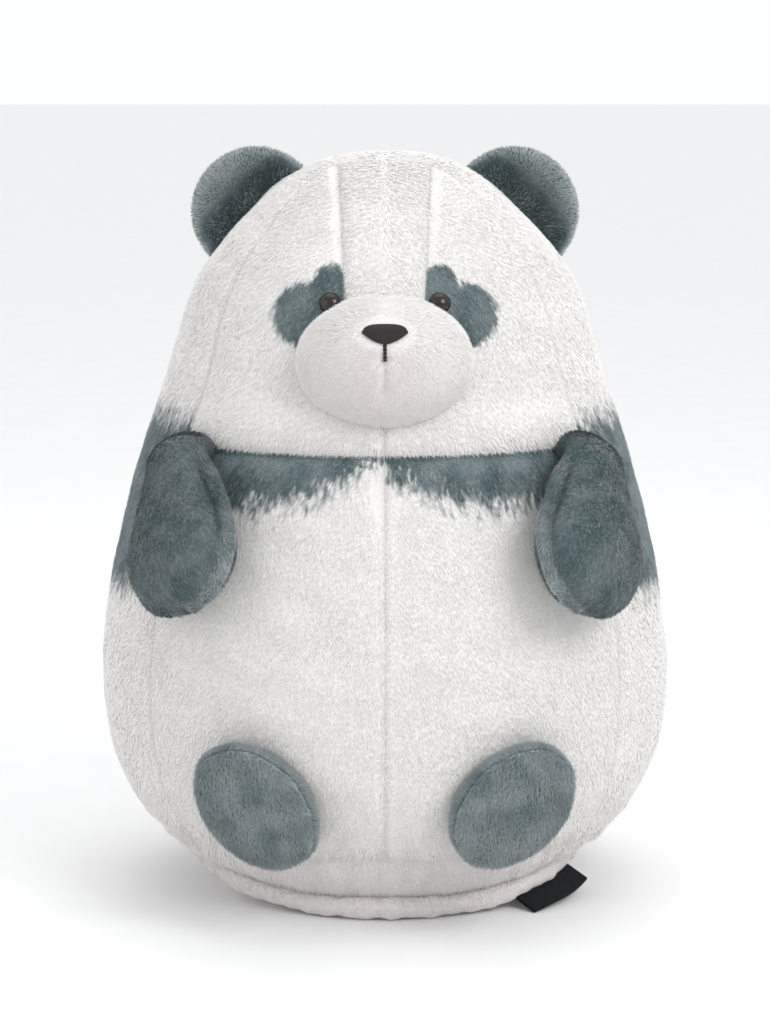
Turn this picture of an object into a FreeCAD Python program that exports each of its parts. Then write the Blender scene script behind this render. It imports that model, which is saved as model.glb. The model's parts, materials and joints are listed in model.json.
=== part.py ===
"""Plush panda, sitting, in millimetres.

The panda faces -Y and stands on Z = 0.  Its own left is +X.  The origin is the
middle of the face that it rests on.

Head and body are one stuffed bag sewn from cloth panels.  Every panel is cut
from one egg-shaped shell: a thick outline is revolved about Z, split along the
seams, and then flattened front to back.  Arms, feet, ears, tail and label are
sewn on, so each of them is a body of its own that flexes at its seam.
"""

import FreeCAD
import Part

import math
import os

Vector = FreeCAD.Vector

# ---------------------------------------------------------------- driving sizes
TOY_HEIGHT = 286.0
BELLY_RADIUS = 110.0  # half the width at the widest level
DEPTH_SHARE = 0.86  # front-to-back size over the width
FORWARD_SHIFT = 4.0  # the belly stands further forward than the back
CLOTH = 2.0  # plush cloth with its pile pressed flat
LIMB_CLOTH = 1.6
SEAM_GAP = 0.3  # air between a cover and its stuffing

# levels of the seams on the egg
NECK_SEAM_Z = 177.0
BELLY_SEAM_Z = 28.0
SIDE_SEAM_AZIMUTH = 54.0  # from the front, in degrees

# forehead gusset
GUSSET_HALF_TOP = 18.0
GUSSET_HALF_FOOT = 14.5
GUSSET_FOOT_Z = 231.0

# base
RIM_RADIUS = 72.5  # ring that the middle of the rolled rim follows
RIM_TUBE = 5.0
RIM_LIFT = 0.5  # the rim hangs this far clear of the floor
BASE_PANEL_RADIUS = 66.0
BASE_PANEL_THICK = 2.0
PELLET_BAG_SIZE = Vector(56.0, 46.0, 16.0)
PELLET_BAG_Z = 22.0
PELLET_CLOTH = 1.0

# muzzle, nose and mouth
MUZZLE_SIZE = Vector(32.0, 30.0, 24.0)  # half sizes
MUZZLE_CENTRE_Z = 212.5
MUZZLE_STAND_OUT = 26.0
NOSE_HALF_WIDTH = 8.4
NOSE_HEIGHT = 6.8
NOSE_Z = 225.0
THREAD_THICK = 0.9
MOUTH_LENGTH = 5.0
MOUTH_WIDTH = 1.2

# eyes
EYE_RADIUS = 4.0
EYE_DOME = 3.2
EYE_SPACING = 39.2
EYE_Z = 233.5
SHANK_RADIUS = 1.5
SHANK_LENGTH = 8.0
WASHER_RADIUS = 5.0
WASHER_THICK = 1.4

# arms: two circles joined by tangents, flattened
ARM_TOP_RADIUS = 8.0
ARM_PAW_RADIUS = 23.0
ARM_REACH = 39.0
ARM_FLAT = 0.58
ARM_AZIMUTH = 50.0
ARM_TOP_Z = 173.0
PAW_AZIMUTH = 40.0
PAW_Z = 141.0
ARM_TOP_STAND_OFF = 8.6
ARM_PAW_STAND_OFF = 14.8

# feet
FOOT_HALF_LENGTH = 26.5
FOOT_HALF_WIDTH = 19.5
FOOT_DEPTH = 15.5
FOOT_PIVOT_DEPTH = 9.5  # the pivot lies this far in front of the foot's back
FOOT_AZIMUTH = 25.0
FOOT_Z = 53.0
FOOT_TURN = 45.0  # toes turn outwards
FOOT_OUTWARD = 0.2
FOOT_CLEARANCE = 1.2

# ears
EAR_RADIUS = 25.0
EAR_HEIGHT = 22.0
EAR_CUP_RADIUS = 95.0
EAR_LAYER = 1.9
EAR_LAYER_GAP = 0.1
EAR_AZIMUTH = 101.0  # just behind the widest line of the head
EAR_Z = 263.0
EAR_CLEARANCE = 2.4
EAR_ROOT = 7.0  # the root reaches this far below the hinge line
EAR_ROOT_RADIUS = 115.0  # the root follows the curve of the head

# tail
TAIL_RADIUS = 12.0
TAIL_EXTRA = 8.0
TAIL_Z = 42.0
TAIL_CLEARANCE = 0.5

# label
LABEL_LENGTH = 34.0
LABEL_WIDTH = 10.0
LABEL_THICK = 0.9
LABEL_AZIMUTH = 55.0
LABEL_Z = 3.4

SIDES = (("left", 1.0), ("right", -1.0))
BIG = 400.0


# ---------------------------------------------------------------- egg outline
def crowned_curve(points):
    """A smooth curve through the points that leaves the first one level."""
    count = len(points)
    curve = Part.BSplineCurve()
    curve.interpolate(
        Points=points,
        Tangents=[Vector(1, 0, 0)] * count,
        TangentFlags=[True] + [False] * (count - 1),
    )
    return curve


def egg_outline():
    """The outer outline of head and body, from the crown down to the belly seam."""
    shares = [
        (0.0, 1.0),
        (0.265, 0.978),
        (0.47, 0.918),
        (0.652, 0.83),
        (0.765, 0.7),
        (0.874, 0.572),
        (0.972, 0.406),
        (1.0, 0.284),
        (0.961, 0.18),
        (0.85, BELLY_SEAM_Z / TOY_HEIGHT),
    ]
    through = [Vector(x * BELLY_RADIUS, 0, z * TOY_HEIGHT) for x, z in shares]
    return crowned_curve(through)


EGG = egg_outline()


def outline_at(share):
    """A point of the outline and the unit normal that points out of the egg."""
    first, last = EGG.FirstParameter, EGG.LastParameter
    at = first + share * (last - first)
    along = EGG.tangent(at)[0]
    return EGG.value(at), Vector(-along.z, 0, along.x)


def inset_outline(depth, count=24):
    """The outline moved inwards by depth, as a new curve."""
    points = [Vector(0, 0, TOY_HEIGHT - depth)]
    for i in range(1, count + 1):
        point, normal = outline_at(i / count)
        points.append(point - normal * depth)
    return crowned_curve(points)


def flattened(shape):
    """The round egg space squeezed front to back and moved forward."""
    squeeze = FreeCAD.Matrix()
    squeeze.A22 = DEPTH_SHARE
    squeeze.A24 = -FORWARD_SHIFT
    return shape.transformGeometry(squeeze)


def skin_at(azimuth, height):
    """A point on the outer skin and its outward normal.

    Azimuth is measured from the front towards +X, in degrees, before the egg
    is flattened.
    """
    low, high = 0.02, 1.0
    for _ in range(50):
        middle = (low + high) / 2
        if outline_at(middle)[0].z > height:
            low = middle
        else:
            high = middle
    point, normal = outline_at(low)
    turn = math.radians(azimuth)
    sideways, forward = math.sin(turn), -math.cos(turn)
    place = Vector(
        point.x * sideways, point.x * forward * DEPTH_SHARE - FORWARD_SHIFT, point.z
    )
    outward = Vector(normal.x * sideways, normal.x * forward / DEPTH_SHARE, normal.z)
    return place, outward.normalize()


# ---------------------------------------------------------------- small helpers
def line(a, b):
    return Part.LineSegment(a, b).toShape()


def revolved(edges, start, sweep):
    """A closed outline in the XZ plane revolved about Z; angles run from the front towards +X."""
    face = Part.Face(Part.Wire(Part.__sortEdges__(edges)))
    face.rotate(Vector(0, 0, 0), Vector(0, 0, 1), start - 90.0)
    return face.revolve(Vector(0, 0, 0), Vector(0, 0, 1), sweep)


def ellipsoid(half_sizes, centre):
    ball = Part.makeSphere(1.0)
    grow = FreeCAD.Matrix()
    grow.A11, grow.A22, grow.A33 = half_sizes.x, half_sizes.y, half_sizes.z
    grow.A14, grow.A24, grow.A34 = centre.x, centre.y, centre.z
    return ball.transformGeometry(grow)


def block(low, high):
    size = high - low
    return Part.makeBox(size.x, size.y, size.z, low)


def frame_matrix(origin, x_axis, y_axis, z_axis):
    """The matrix that takes a piece from its own frame to where it is sewn on."""
    return FreeCAD.Matrix(
        x_axis.x, y_axis.x, z_axis.x, origin.x,
        x_axis.y, y_axis.y, z_axis.y, origin.y,
        x_axis.z, y_axis.z, z_axis.z, origin.z,
        0, 0, 0, 1,
    )  # fmt: skip


def placed(shape, matrix):
    """A copy of the shape moved by a rigid matrix."""
    moved = shape.copy()
    moved.transformShape(matrix, True)
    return moved


def stretched(shape, x_share=1.0, y_share=1.0):
    squeeze = FreeCAD.Matrix()
    squeeze.A11, squeeze.A22 = x_share, y_share
    return shape.transformGeometry(squeeze)


# ---------------------------------------------------------------- egg covers
def cover_slice(start, sweep):
    """A slice of the thick egg shell between two azimuths, still round."""
    inner = inset_outline(CLOTH)
    edges = [
        EGG.toShape(),
        line(EGG.value(EGG.LastParameter), inner.value(inner.LastParameter)),
        inner.toShape(),
        line(inner.value(inner.FirstParameter), EGG.value(EGG.FirstParameter)),
    ]
    return revolved(edges, start, sweep)


def gusset_prism():
    """The tapered strip of the forehead, seen from the front."""
    corners = [
        Vector(-GUSSET_HALF_FOOT, -BIG, GUSSET_FOOT_Z),
        Vector(GUSSET_HALF_FOOT, -BIG, GUSSET_FOOT_Z),
        Vector(GUSSET_HALF_TOP, -BIG, TOY_HEIGHT + 1),
        Vector(-GUSSET_HALF_TOP, -BIG, TOY_HEIGHT + 1),
    ]
    return Part.Face(Part.makePolygon(corners + corners[:1])).extrude(Vector(0, BIG, 0))


def egg_panels():
    """The sewn panels of head and body, by name."""
    front = cover_slice(-SIDE_SEAM_AZIMUTH, 2 * SIDE_SEAM_AZIMUTH)
    head = front.common(
        block(Vector(-BIG, -BIG, NECK_SEAM_Z), Vector(BIG, BIG, TOY_HEIGHT + 1))
    )
    chest = front.common(block(Vector(-BIG, -BIG, 0), Vector(BIG, BIG, NECK_SEAM_Z)))
    gusset = gusset_prism()
    panels = {"forehead_gusset": head.common(gusset)}
    cheeks = head.cut(gusset)
    for name, side in SIDES:
        low, high = sorted((0.0, side * BIG))
        half = block(Vector(low, -BIG, 0), Vector(high, BIG, TOY_HEIGHT + 1))
        panels[f"{name}_cheek_panel"] = cheeks.common(half)
        panels[f"{name}_belly_panel"] = chest.common(half)
        start = SIDE_SEAM_AZIMUTH if side > 0 else 180.0
        panels[f"{name}_back_panel"] = cover_slice(start, 180.0 - SIDE_SEAM_AZIMUTH)
    return {name: flattened(panel) for name, panel in panels.items()}


def egg_solid():
    """Everything inside the outer skin down to the belly seam."""
    foot = EGG.value(EGG.LastParameter)
    edges = [
        EGG.toShape(),
        line(foot, Vector(0, 0, foot.z)),
        line(Vector(0, 0, foot.z), Vector(0, 0, TOY_HEIGHT)),
    ]
    return flattened(revolved(edges, 0, 360))


# ---------------------------------------------------------------- base
RIM_Z = RIM_LIFT + RIM_TUBE
RIM_TOP_Z = RIM_Z + RIM_TUBE
RIM_OUTER = RIM_RADIUS + RIM_TUBE


def base_band():
    """The strip between the belly seam and the rolled rim."""
    foot, normal = outline_at(1.0)
    top_out, top_in = foot, foot - normal * CLOTH
    low_out = Vector(RIM_OUTER, 0, RIM_TOP_Z + 0.2)
    low_in = low_out - Vector(CLOTH + 0.3, 0, 0)
    bulge = Vector(1.6, 0, -1.2)
    outer = Part.Arc(top_out - Vector(0, 0, 0.1), (top_out + low_out) / 2 + bulge, low_out)
    inner = Part.Arc(top_in - Vector(0, 0, 0.1), (top_in + low_in) / 2 + bulge, low_in)
    edges = [
        outer.toShape(),
        line(outer.EndPoint, inner.EndPoint),
        inner.toShape(),
        line(inner.StartPoint, outer.StartPoint),
    ]
    return flattened(revolved(edges, 0, 360))


def base_rim():
    """The slack edge of the base, rolled into a soft ring."""
    return flattened(Part.makeTorus(RIM_RADIUS, RIM_TUBE, Vector(0, 0, RIM_Z)))


def base_panel():
    """The flat oval that the panda sits on."""
    centre = Vector(0, -FORWARD_SHIFT, 0)
    oval = Part.Ellipse(centre, BASE_PANEL_RADIUS, BASE_PANEL_RADIUS * DEPTH_SHARE)
    return Part.Face(Part.Wire(oval.toShape())).extrude(Vector(0, 0, BASE_PANEL_THICK))


# ---------------------------------------------------------------- fillings
def pellet_bag(outset=0.0):
    """The bag of pellets that makes the panda sit upright, grown by outset."""
    centre = Vector(0, -FORWARD_SHIFT, PELLET_BAG_Z)
    grow = Vector(outset, outset, outset)
    return ellipsoid(PELLET_BAG_SIZE + grow, centre)


def body_stuffing():
    """One filling for head and body, with a pocket for the pellet bag."""
    inner = inset_outline(CLOTH + SEAM_GAP)
    foot = inner.value(inner.LastParameter)
    shoulder = Vector(RIM_OUTER - CLOTH - 2 * SEAM_GAP, 0, RIM_TOP_Z + 1.4)
    waist = RIM_RADIUS - RIM_TUBE - SEAM_GAP
    corners = [
        foot,
        shoulder,
        Vector(waist, 0, RIM_TOP_Z + 1.4),
        Vector(waist, 0, BASE_PANEL_THICK + SEAM_GAP),
        Vector(0, 0, BASE_PANEL_THICK + SEAM_GAP),
        Vector(0, 0, TOY_HEIGHT - CLOTH - SEAM_GAP),
    ]
    edges = [inner.toShape()]
    edges += [line(a, b) for a, b in zip(corners, corners[1:])]
    return flattened(revolved(edges, 0, 360)).cut(pellet_bag(SEAM_GAP))


# ---------------------------------------------------------------- muzzle and face
def muzzle_ball(outset=0.0):
    """The muzzle's ellipsoid, grown by outset."""
    skin, _ = skin_at(0.0, MUZZLE_CENTRE_Z)
    front = skin.y - MUZZLE_STAND_OUT
    centre = Vector(0, front + MUZZLE_SIZE.y, MUZZLE_CENTRE_Z)
    return ellipsoid(MUZZLE_SIZE + Vector(outset, outset, outset), centre)


def muzzle_parts(egg):
    cover = muzzle_ball().cut(muzzle_ball(-CLOTH)).cut(egg)
    filling = muzzle_ball(-CLOTH - SEAM_GAP).cut(egg)
    return {"muzzle_cover": cover, "muzzle_stuffing": filling}


def on_muzzle(outline):
    """A thread pad on the front of the muzzle, with the outline seen from the front."""
    prism = Part.Face(outline).extrude(Vector(0, BIG, 0))
    pad = muzzle_ball(THREAD_THICK).cut(muzzle_ball(0.05))
    front_only = block(Vector(-BIG, -BIG, 0), Vector(BIG, -BELLY_RADIUS * 0.6, BIG))
    return pad.common(prism).common(front_only)


def nose_embroidery():
    """Satin stitches in a wide shield: a level top with round corners over a blunt point."""
    half, top = NOSE_HALF_WIDTH, NOSE_Z + 0.45 * NOSE_HEIGHT
    shoulder = NOSE_Z + 0.15 * NOSE_HEIGHT
    low = Vector(0, -BIG, NOSE_Z - 0.55 * NOSE_HEIGHT)
    edges = [line(Vector(-0.7 * half, -BIG, top), Vector(0.7 * half, -BIG, top))]
    for side in (-1, 1):
        corner = Part.Arc(
            Vector(0.7 * side * half, -BIG, top),
            Vector(0.93 * side * half, -BIG, (top + shoulder) / 2 + 0.1 * NOSE_HEIGHT),
            Vector(side * half, -BIG, shoulder),
        )
        edges += [corner.toShape(), line(corner.EndPoint, low)]
    return on_muzzle(Part.Wire(Part.__sortEdges__(edges)))


def mouth_stitch():
    """One short line of thread below the nose."""
    top = NOSE_Z - 0.55 * NOSE_HEIGHT - 0.3
    half = MOUTH_WIDTH / 2
    corners = [
        Vector(-half, -BIG, top),
        Vector(half, -BIG, top),
        Vector(half, -BIG, top - MOUTH_LENGTH),
        Vector(-half, -BIG, top - MOUTH_LENGTH),
    ]
    return on_muzzle(Part.makePolygon(corners + corners[:1]))


def eye_azimuth():
    """The azimuth that puts the eyes at their spacing."""
    low, high = 0.0, 60.0
    for _ in range(40):
        middle = (low + high) / 2
        if skin_at(middle, EYE_Z)[0].x < EYE_SPACING / 2:
            low = middle
        else:
            high = middle
    return low


def eye_frame(side):
    """A frame on the face with Z out of the cloth, for the eye's axis."""
    skin, outward = skin_at(side * eye_azimuth(), EYE_Z)
    look = (outward + Vector(0, -0.6, 0)).normalize()
    across = look.cross(Vector(0, 0, 1)).normalize()
    return frame_matrix(skin, across, look.cross(across), look)


def eye_parts(side):
    """The eye with its shank, the washer that locks it, and the hole that they need."""
    dome = ellipsoid(Vector(EYE_RADIUS, EYE_RADIUS, EYE_DOME), Vector(0, 0, 0))
    dome = dome.common(block(Vector(-9, -9, 0), Vector(9, 9, 9)))
    flange = Part.makeCylinder(EYE_RADIUS, 1.6, Vector(0, 0, -1.6))
    shank = Part.makeCylinder(SHANK_RADIUS, SHANK_LENGTH, Vector(0, 0, -SHANK_LENGTH))
    eye = dome.fuse(flange).fuse(shank).removeSplitter()
    back = -CLOTH - SEAM_GAP - WASHER_THICK - 1.2
    washer = Part.makeCylinder(WASHER_RADIUS, WASHER_THICK, Vector(0, 0, back))
    hub = Part.makeCylinder(SHANK_RADIUS + 1.2, 1.4, Vector(0, 0, back - 1.4))
    bore = Part.makeCylinder(SHANK_RADIUS + 0.03, 9, Vector(0, 0, -9))
    washer = washer.fuse(hub).cut(bore).removeSplitter()
    room = Part.makeCylinder(WASHER_RADIUS + 0.4, 12, Vector(0, 0, -10.5))
    seat = Part.makeCylinder(EYE_RADIUS + 0.1, 5, Vector(0, 0, -1.7))
    hole = Part.makeCylinder(SHANK_RADIUS + 0.1, 12, Vector(0, 0, -10)).fuse(seat)
    matrix = eye_frame(side)
    return [placed(piece, matrix) for piece in (eye, washer, hole, room)]


# ---------------------------------------------------------------- arms
def arm_frame(side):
    """Pivot of the shoulder seam: X is the hinge, Y points off the body, Z up the arm."""
    top, top_out = skin_at(side * ARM_AZIMUTH, ARM_TOP_Z)
    paw, paw_out = skin_at(side * PAW_AZIMUTH, PAW_Z)
    pivot = top + top_out * ARM_TOP_STAND_OFF
    palm = paw + paw_out * ARM_PAW_STAND_OFF
    up = (pivot - palm).normalize()
    off = (top_out + paw_out).normalize()
    hinge = off.cross(up).normalize()
    return frame_matrix(pivot, hinge, up.cross(hinge), up)


def mitten_edges(inset):
    """Half the arm's outline: a small circle at the shoulder and a big one at the paw."""
    small, large = ARM_TOP_RADIUS - inset, ARM_PAW_RADIUS - inset
    lean = math.asin((large - small) / ARM_REACH)
    out = Vector(math.cos(lean), 0, math.sin(lean))
    paw = Vector(0, 0, -ARM_REACH)
    top_mid = Vector(math.cos((lean + math.pi / 2) / 2), 0, math.sin((lean + math.pi / 2) / 2))
    low_mid = Vector(math.cos((lean - math.pi / 2) / 2), 0, math.sin((lean - math.pi / 2) / 2))
    top_arc = Part.Arc(Vector(0, 0, small), top_mid * small, out * small)
    low_arc = Part.Arc(paw + out * large, paw + low_mid * large, paw - Vector(0, 0, large))
    return [top_arc.toShape(), line(out * small, paw + out * large), low_arc.toShape()]


def half_mitten(start):
    """One cloth half of the arm, from the hinge plane outwards."""
    outer, inner = mitten_edges(0.0), mitten_edges(LIMB_CLOTH)
    top = line(Vector(0, 0, ARM_TOP_RADIUS), Vector(0, 0, ARM_TOP_RADIUS - LIMB_CLOTH))
    low_z = -ARM_REACH - ARM_PAW_RADIUS
    low = line(Vector(0, 0, low_z), Vector(0, 0, low_z + LIMB_CLOTH))
    return stretched(revolved(outer + inner + [top, low], start, 180), y_share=ARM_FLAT)


def arm_parts(name, side):
    matrix = arm_frame(side)
    inset = LIMB_CLOTH + SEAM_GAP
    axis = line(Vector(0, 0, ARM_TOP_RADIUS - inset), Vector(0, 0, inset - ARM_REACH - ARM_PAW_RADIUS))
    filling = stretched(revolved(mitten_edges(inset) + [axis], 0, 360), y_share=ARM_FLAT)
    return {
        f"{name}_arm_outer_panel": placed(half_mitten(90), matrix),
        f"{name}_arm_inner_panel": placed(half_mitten(-90), matrix),
        f"{name}_arm_stuffing": placed(filling, matrix),
    }


# ---------------------------------------------------------------- feet
def foot_frame(side):
    """Pivot of the foot: Z is out of the sole, X runs towards the toes' outer side."""
    skin, outward = skin_at(side * FOOT_AZIMUTH, FOOT_Z)
    sole = Vector(side * FOOT_OUTWARD, -1, -0.06).normalize()
    pivot = skin + outward * FOOT_CLEARANCE + sole * FOOT_PIVOT_DEPTH
    turn = math.radians(FOOT_TURN)
    level = Vector(0, 0, 1).cross(sole).normalize()
    upright = sole.cross(level)
    toe = level * (side * math.cos(turn)) + upright * math.sin(turn)
    return frame_matrix(pivot, toe, sole.cross(toe), sole)


def foot_outline(inset):
    """Half outline of a foot about its sole's normal: back dome, flare, wall."""
    ball = FOOT_PIVOT_DEPTH - inset
    dome_end = Vector(ball * math.sin(0.75), 0, -ball * math.cos(0.75))
    dome_mid = Vector(ball * math.sin(0.375), 0, -ball * math.cos(0.375))
    rim = FOOT_HALF_LENGTH - inset
    flare_end = Vector(rim - 1.5, 0, -1.5 + 0.4 * inset)
    wall_low = Vector(rim, 0, 1.5)
    wall_top = Vector(rim, 0, FOOT_DEPTH - FOOT_PIVOT_DEPTH - 2.0)
    dome = Part.Arc(Vector(0, 0, -ball), dome_mid, dome_end).toShape()
    corner = Part.Arc(flare_end, Vector(rim - 0.35, 0, -0.3 + 0.3 * inset), wall_low).toShape()
    return [dome, line(dome_end, flare_end), corner, line(wall_low, wall_top)], wall_top


def foot_parts(name, side):
    matrix = foot_frame(side)
    outer, outer_top = foot_outline(0.0)
    inner, inner_top = foot_outline(LIMB_CLOTH)
    filling, filling_top = foot_outline(LIMB_CLOTH + SEAM_GAP)
    pole_out = Vector(0, 0, -FOOT_PIVOT_DEPTH)
    pole_in = Vector(0, 0, LIMB_CLOTH - FOOT_PIVOT_DEPTH)
    upper = revolved(
        outer + inner + [line(pole_out, pole_in), line(outer_top, inner_top)], 0, 360
    )
    sole_rim = outer_top.x
    sole_low = outer_top.z + 0.05
    sole_dome = Part.Arc(
        Vector(sole_rim, 0, sole_low + LIMB_CLOTH * 0.6),
        Vector(sole_rim * 0.6, 0, sole_low + LIMB_CLOTH * 0.6 + 1.0),
        Vector(0, 0, sole_low + LIMB_CLOTH * 0.6 + 1.6),
    ).toShape()
    sole = revolved(
        [
            line(Vector(0, 0, sole_low), Vector(sole_rim, 0, sole_low)),
            line(Vector(sole_rim, 0, sole_low), Vector(sole_rim, 0, sole_low + LIMB_CLOTH * 0.6)),
            sole_dome,
            line(Vector(0, 0, sole_low + LIMB_CLOTH * 0.6 + 1.6), Vector(0, 0, sole_low)),
        ],
        0,
        360,
    )
    lid = filling_top - Vector(0, 0, SEAM_GAP)
    filling[-1] = line(Vector(filling_top.x, 0, 1.5), lid)
    low_pole = Vector(0, 0, LIMB_CLOTH + SEAM_GAP - FOOT_PIVOT_DEPTH)
    filling += [line(lid, Vector(0, 0, lid.z)), line(Vector(0, 0, lid.z), low_pole)]
    width = FOOT_HALF_WIDTH / FOOT_HALF_LENGTH
    pieces = {
        f"{name}_foot_upper": upper,
        f"{name}_foot_sole": sole,
        f"{name}_foot_stuffing": revolved(filling, 0, 360),
    }
    return {
        key: placed(stretched(piece, y_share=width), matrix)
        for key, piece in pieces.items()
    }


# ---------------------------------------------------------------- ears
def ear_frame(side):
    """Middle of the ear's seam: X is the hinge along the seam, Z out of the head."""
    skin, outward = skin_at(side * EAR_AZIMUTH, EAR_Z)
    out = Vector(outward.x, 0, outward.z).normalize()
    seam = Vector(out.z, 0, -out.x)
    return frame_matrix(skin + out * EAR_CLEARANCE, seam, out.cross(seam), out)


def ear_layer(near):
    """One cloth layer of the cupped ear, hollow towards the front and cut along the head.

    near is how far the layer's front face lies behind the cup's front face.
    """
    sag = EAR_RADIUS**2 / (2 * EAR_CUP_RADIUS)
    middle = Vector(0, sag / 2 - EAR_CUP_RADIUS, 0)
    cup = EAR_CUP_RADIUS - EAR_LAYER - EAR_LAYER_GAP / 2 + near
    outer = Part.makeSphere(cup + EAR_LAYER, middle)
    inner = Part.makeSphere(cup, middle)
    reach = 2 * EAR_RADIUS
    ahead = Vector(0, -reach, 0)
    back = Vector(0, 1, 0)
    disc = Part.makeCylinder(
        EAR_RADIUS, 2 * reach, ahead + Vector(0, 0, EAR_HEIGHT - EAR_RADIUS), back
    )
    above = block(Vector(-reach, -reach, -EAR_ROOT), Vector(reach, reach, reach))
    head = Part.makeCylinder(
        EAR_ROOT_RADIUS, 2 * reach, ahead - Vector(0, 0, EAR_ROOT_RADIUS), back
    )
    return outer.cut(inner).common(disc).common(above).cut(head)


def ear_parts(name, side):
    matrix = ear_frame(side)
    return {
        f"{name}_ear_front": placed(ear_layer(0.0), matrix),
        f"{name}_ear_back": placed(ear_layer(EAR_LAYER + EAR_LAYER_GAP), matrix),
    }


# ---------------------------------------------------------------- tail and label
def tail_frame():
    """Pivot of the tail: Z points away from the back."""
    skin, outward = skin_at(180.0, TAIL_Z)
    out = Vector(0, outward.y, 0.35).normalize()
    pivot = skin + outward * (TAIL_RADIUS + TAIL_CLEARANCE)
    across = Vector(1, 0, 0)
    return frame_matrix(pivot, across, out.cross(across), out)


def tail_edges(inset):
    """Half outline: a ball around the pivot, drawn out to a blunt end."""
    ball = TAIL_RADIUS - inset
    tip = Vector(0, 0, TAIL_RADIUS + TAIL_EXTRA - inset)
    low = Part.Arc(
        Vector(0, 0, -ball), Vector(ball * math.sqrt(0.5), 0, -ball * math.sqrt(0.5)), Vector(ball, 0, 0)
    )
    side = Part.BSplineCurve()
    side.interpolate(
        Points=[Vector(ball, 0, 0), Vector(0.8 * ball, 0, 0.62 * tip.z), tip],
        Tangents=[Vector(0, 0, 1), Vector(0, 0, 0), Vector(-1, 0, 0)],
        TangentFlags=[True, False, True],
    )
    return [low.toShape(), side.toShape()], tip


def tail_parts():
    matrix = tail_frame()
    outer, outer_tip = tail_edges(0.0)
    inner, inner_tip = tail_edges(LIMB_CLOTH)
    filling, filling_tip = tail_edges(LIMB_CLOTH + SEAM_GAP)
    caps = [
        line(Vector(0, 0, -TAIL_RADIUS), Vector(0, 0, LIMB_CLOTH - TAIL_RADIUS)),
        line(outer_tip, inner_tip),
    ]
    axis = line(filling_tip, Vector(0, 0, LIMB_CLOTH + SEAM_GAP - TAIL_RADIUS))
    return {
        "tail_cover": placed(revolved(outer + inner + caps, 0, 360), matrix),
        "tail_stuffing": placed(revolved(filling + [axis], 0, 360), matrix),
    }


def label_frame():
    """Middle of the label's seam under the rim: X along the seam, Y outwards."""
    turn = math.radians(LABEL_AZIMUTH)
    radius = RIM_OUTER + 0.6
    place = Vector(
        radius * math.sin(turn),
        -radius * math.cos(turn) * DEPTH_SHARE - FORWARD_SHIFT,
        LABEL_Z,
    )
    out = Vector(math.sin(turn), -math.cos(turn) / DEPTH_SHARE, 0).normalize()
    out = (out - Vector(0, 0, 0.22)).normalize()
    along = out.cross(Vector(0, 0, 1)).normalize()
    return frame_matrix(place, along, out, along.cross(out))


def sewn_label():
    """A folded black tag, blank on both faces."""
    half = LABEL_LENGTH / 2
    tag = block(Vector(-half, 0, -LABEL_THICK / 2), Vector(half, LABEL_WIDTH, LABEL_THICK / 2))
    return placed(tag, label_frame())


# ---------------------------------------------------------------- assembly
def build():
    """Every node's shape, by name."""
    egg = egg_solid()
    nodes = egg_panels()
    nodes["base_band"] = base_band()
    nodes["base_rim"] = base_rim()
    nodes["base_panel"] = base_panel()
    nodes["pellet_bag"] = pellet_bag().cut(pellet_bag(-PELLET_CLOTH))
    nodes["pellets"] = pellet_bag(-PELLET_CLOTH - 0.1)
    nodes["body_stuffing"] = body_stuffing()
    nodes.update(muzzle_parts(egg))
    nodes["nose_embroidery"] = nose_embroidery()
    nodes["mouth_stitch"] = mouth_stitch()
    nodes.update(tail_parts())
    nodes["sewn_label"] = sewn_label()
    for name, side in SIDES:
        eye, washer, hole, room = eye_parts(side)
        nodes[f"{name}_eye"] = eye
        nodes[f"{name}_eye_washer"] = washer
        nodes[f"{name}_cheek_panel"] = nodes[f"{name}_cheek_panel"].cut(hole)
        nodes["forehead_gusset"] = nodes["forehead_gusset"].cut(hole)
        nodes["body_stuffing"] = nodes["body_stuffing"].cut(room)
        nodes["muzzle_cover"] = nodes["muzzle_cover"].cut(hole)
        nodes["muzzle_stuffing"] = nodes["muzzle_stuffing"].cut(hole)
        nodes.update(arm_parts(name, side))
        nodes.update(foot_parts(name, side))
        nodes.update(ear_parts(name, side))
    return nodes


def main():
    os.makedirs("parts", exist_ok=True)
    for name, shape in build().items():
        shape.exportStep(f"parts/{name}.step")
        box = shape.optimalBoundingBox()
        print(
            f"{name:24s} solids {len(shape.Solids)} valid {shape.isValid()} "
            f"volume {shape.Volume:10.1f}  x {box.XMin:7.1f} {box.XMax:7.1f} "
            f"y {box.YMin:7.1f} {box.YMax:7.1f} z {box.ZMin:7.1f} {box.ZMax:7.1f}"
        )


if __name__ == "__main__":
    main()
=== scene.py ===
"""Looks of the sitting plush panda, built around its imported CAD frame.

Every sub-assembly of the toy is a class that builds its own cloth, pile and trim.
Lengths are in millimetres in this file, and meshes are written in metres.  The
panda faces -Y, its own left is +X and it sits on Z = 0.
"""

from __future__ import annotations

import json
import logging
import math
from dataclasses import dataclass, field
from enum import Enum
from typing import Sequence

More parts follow.
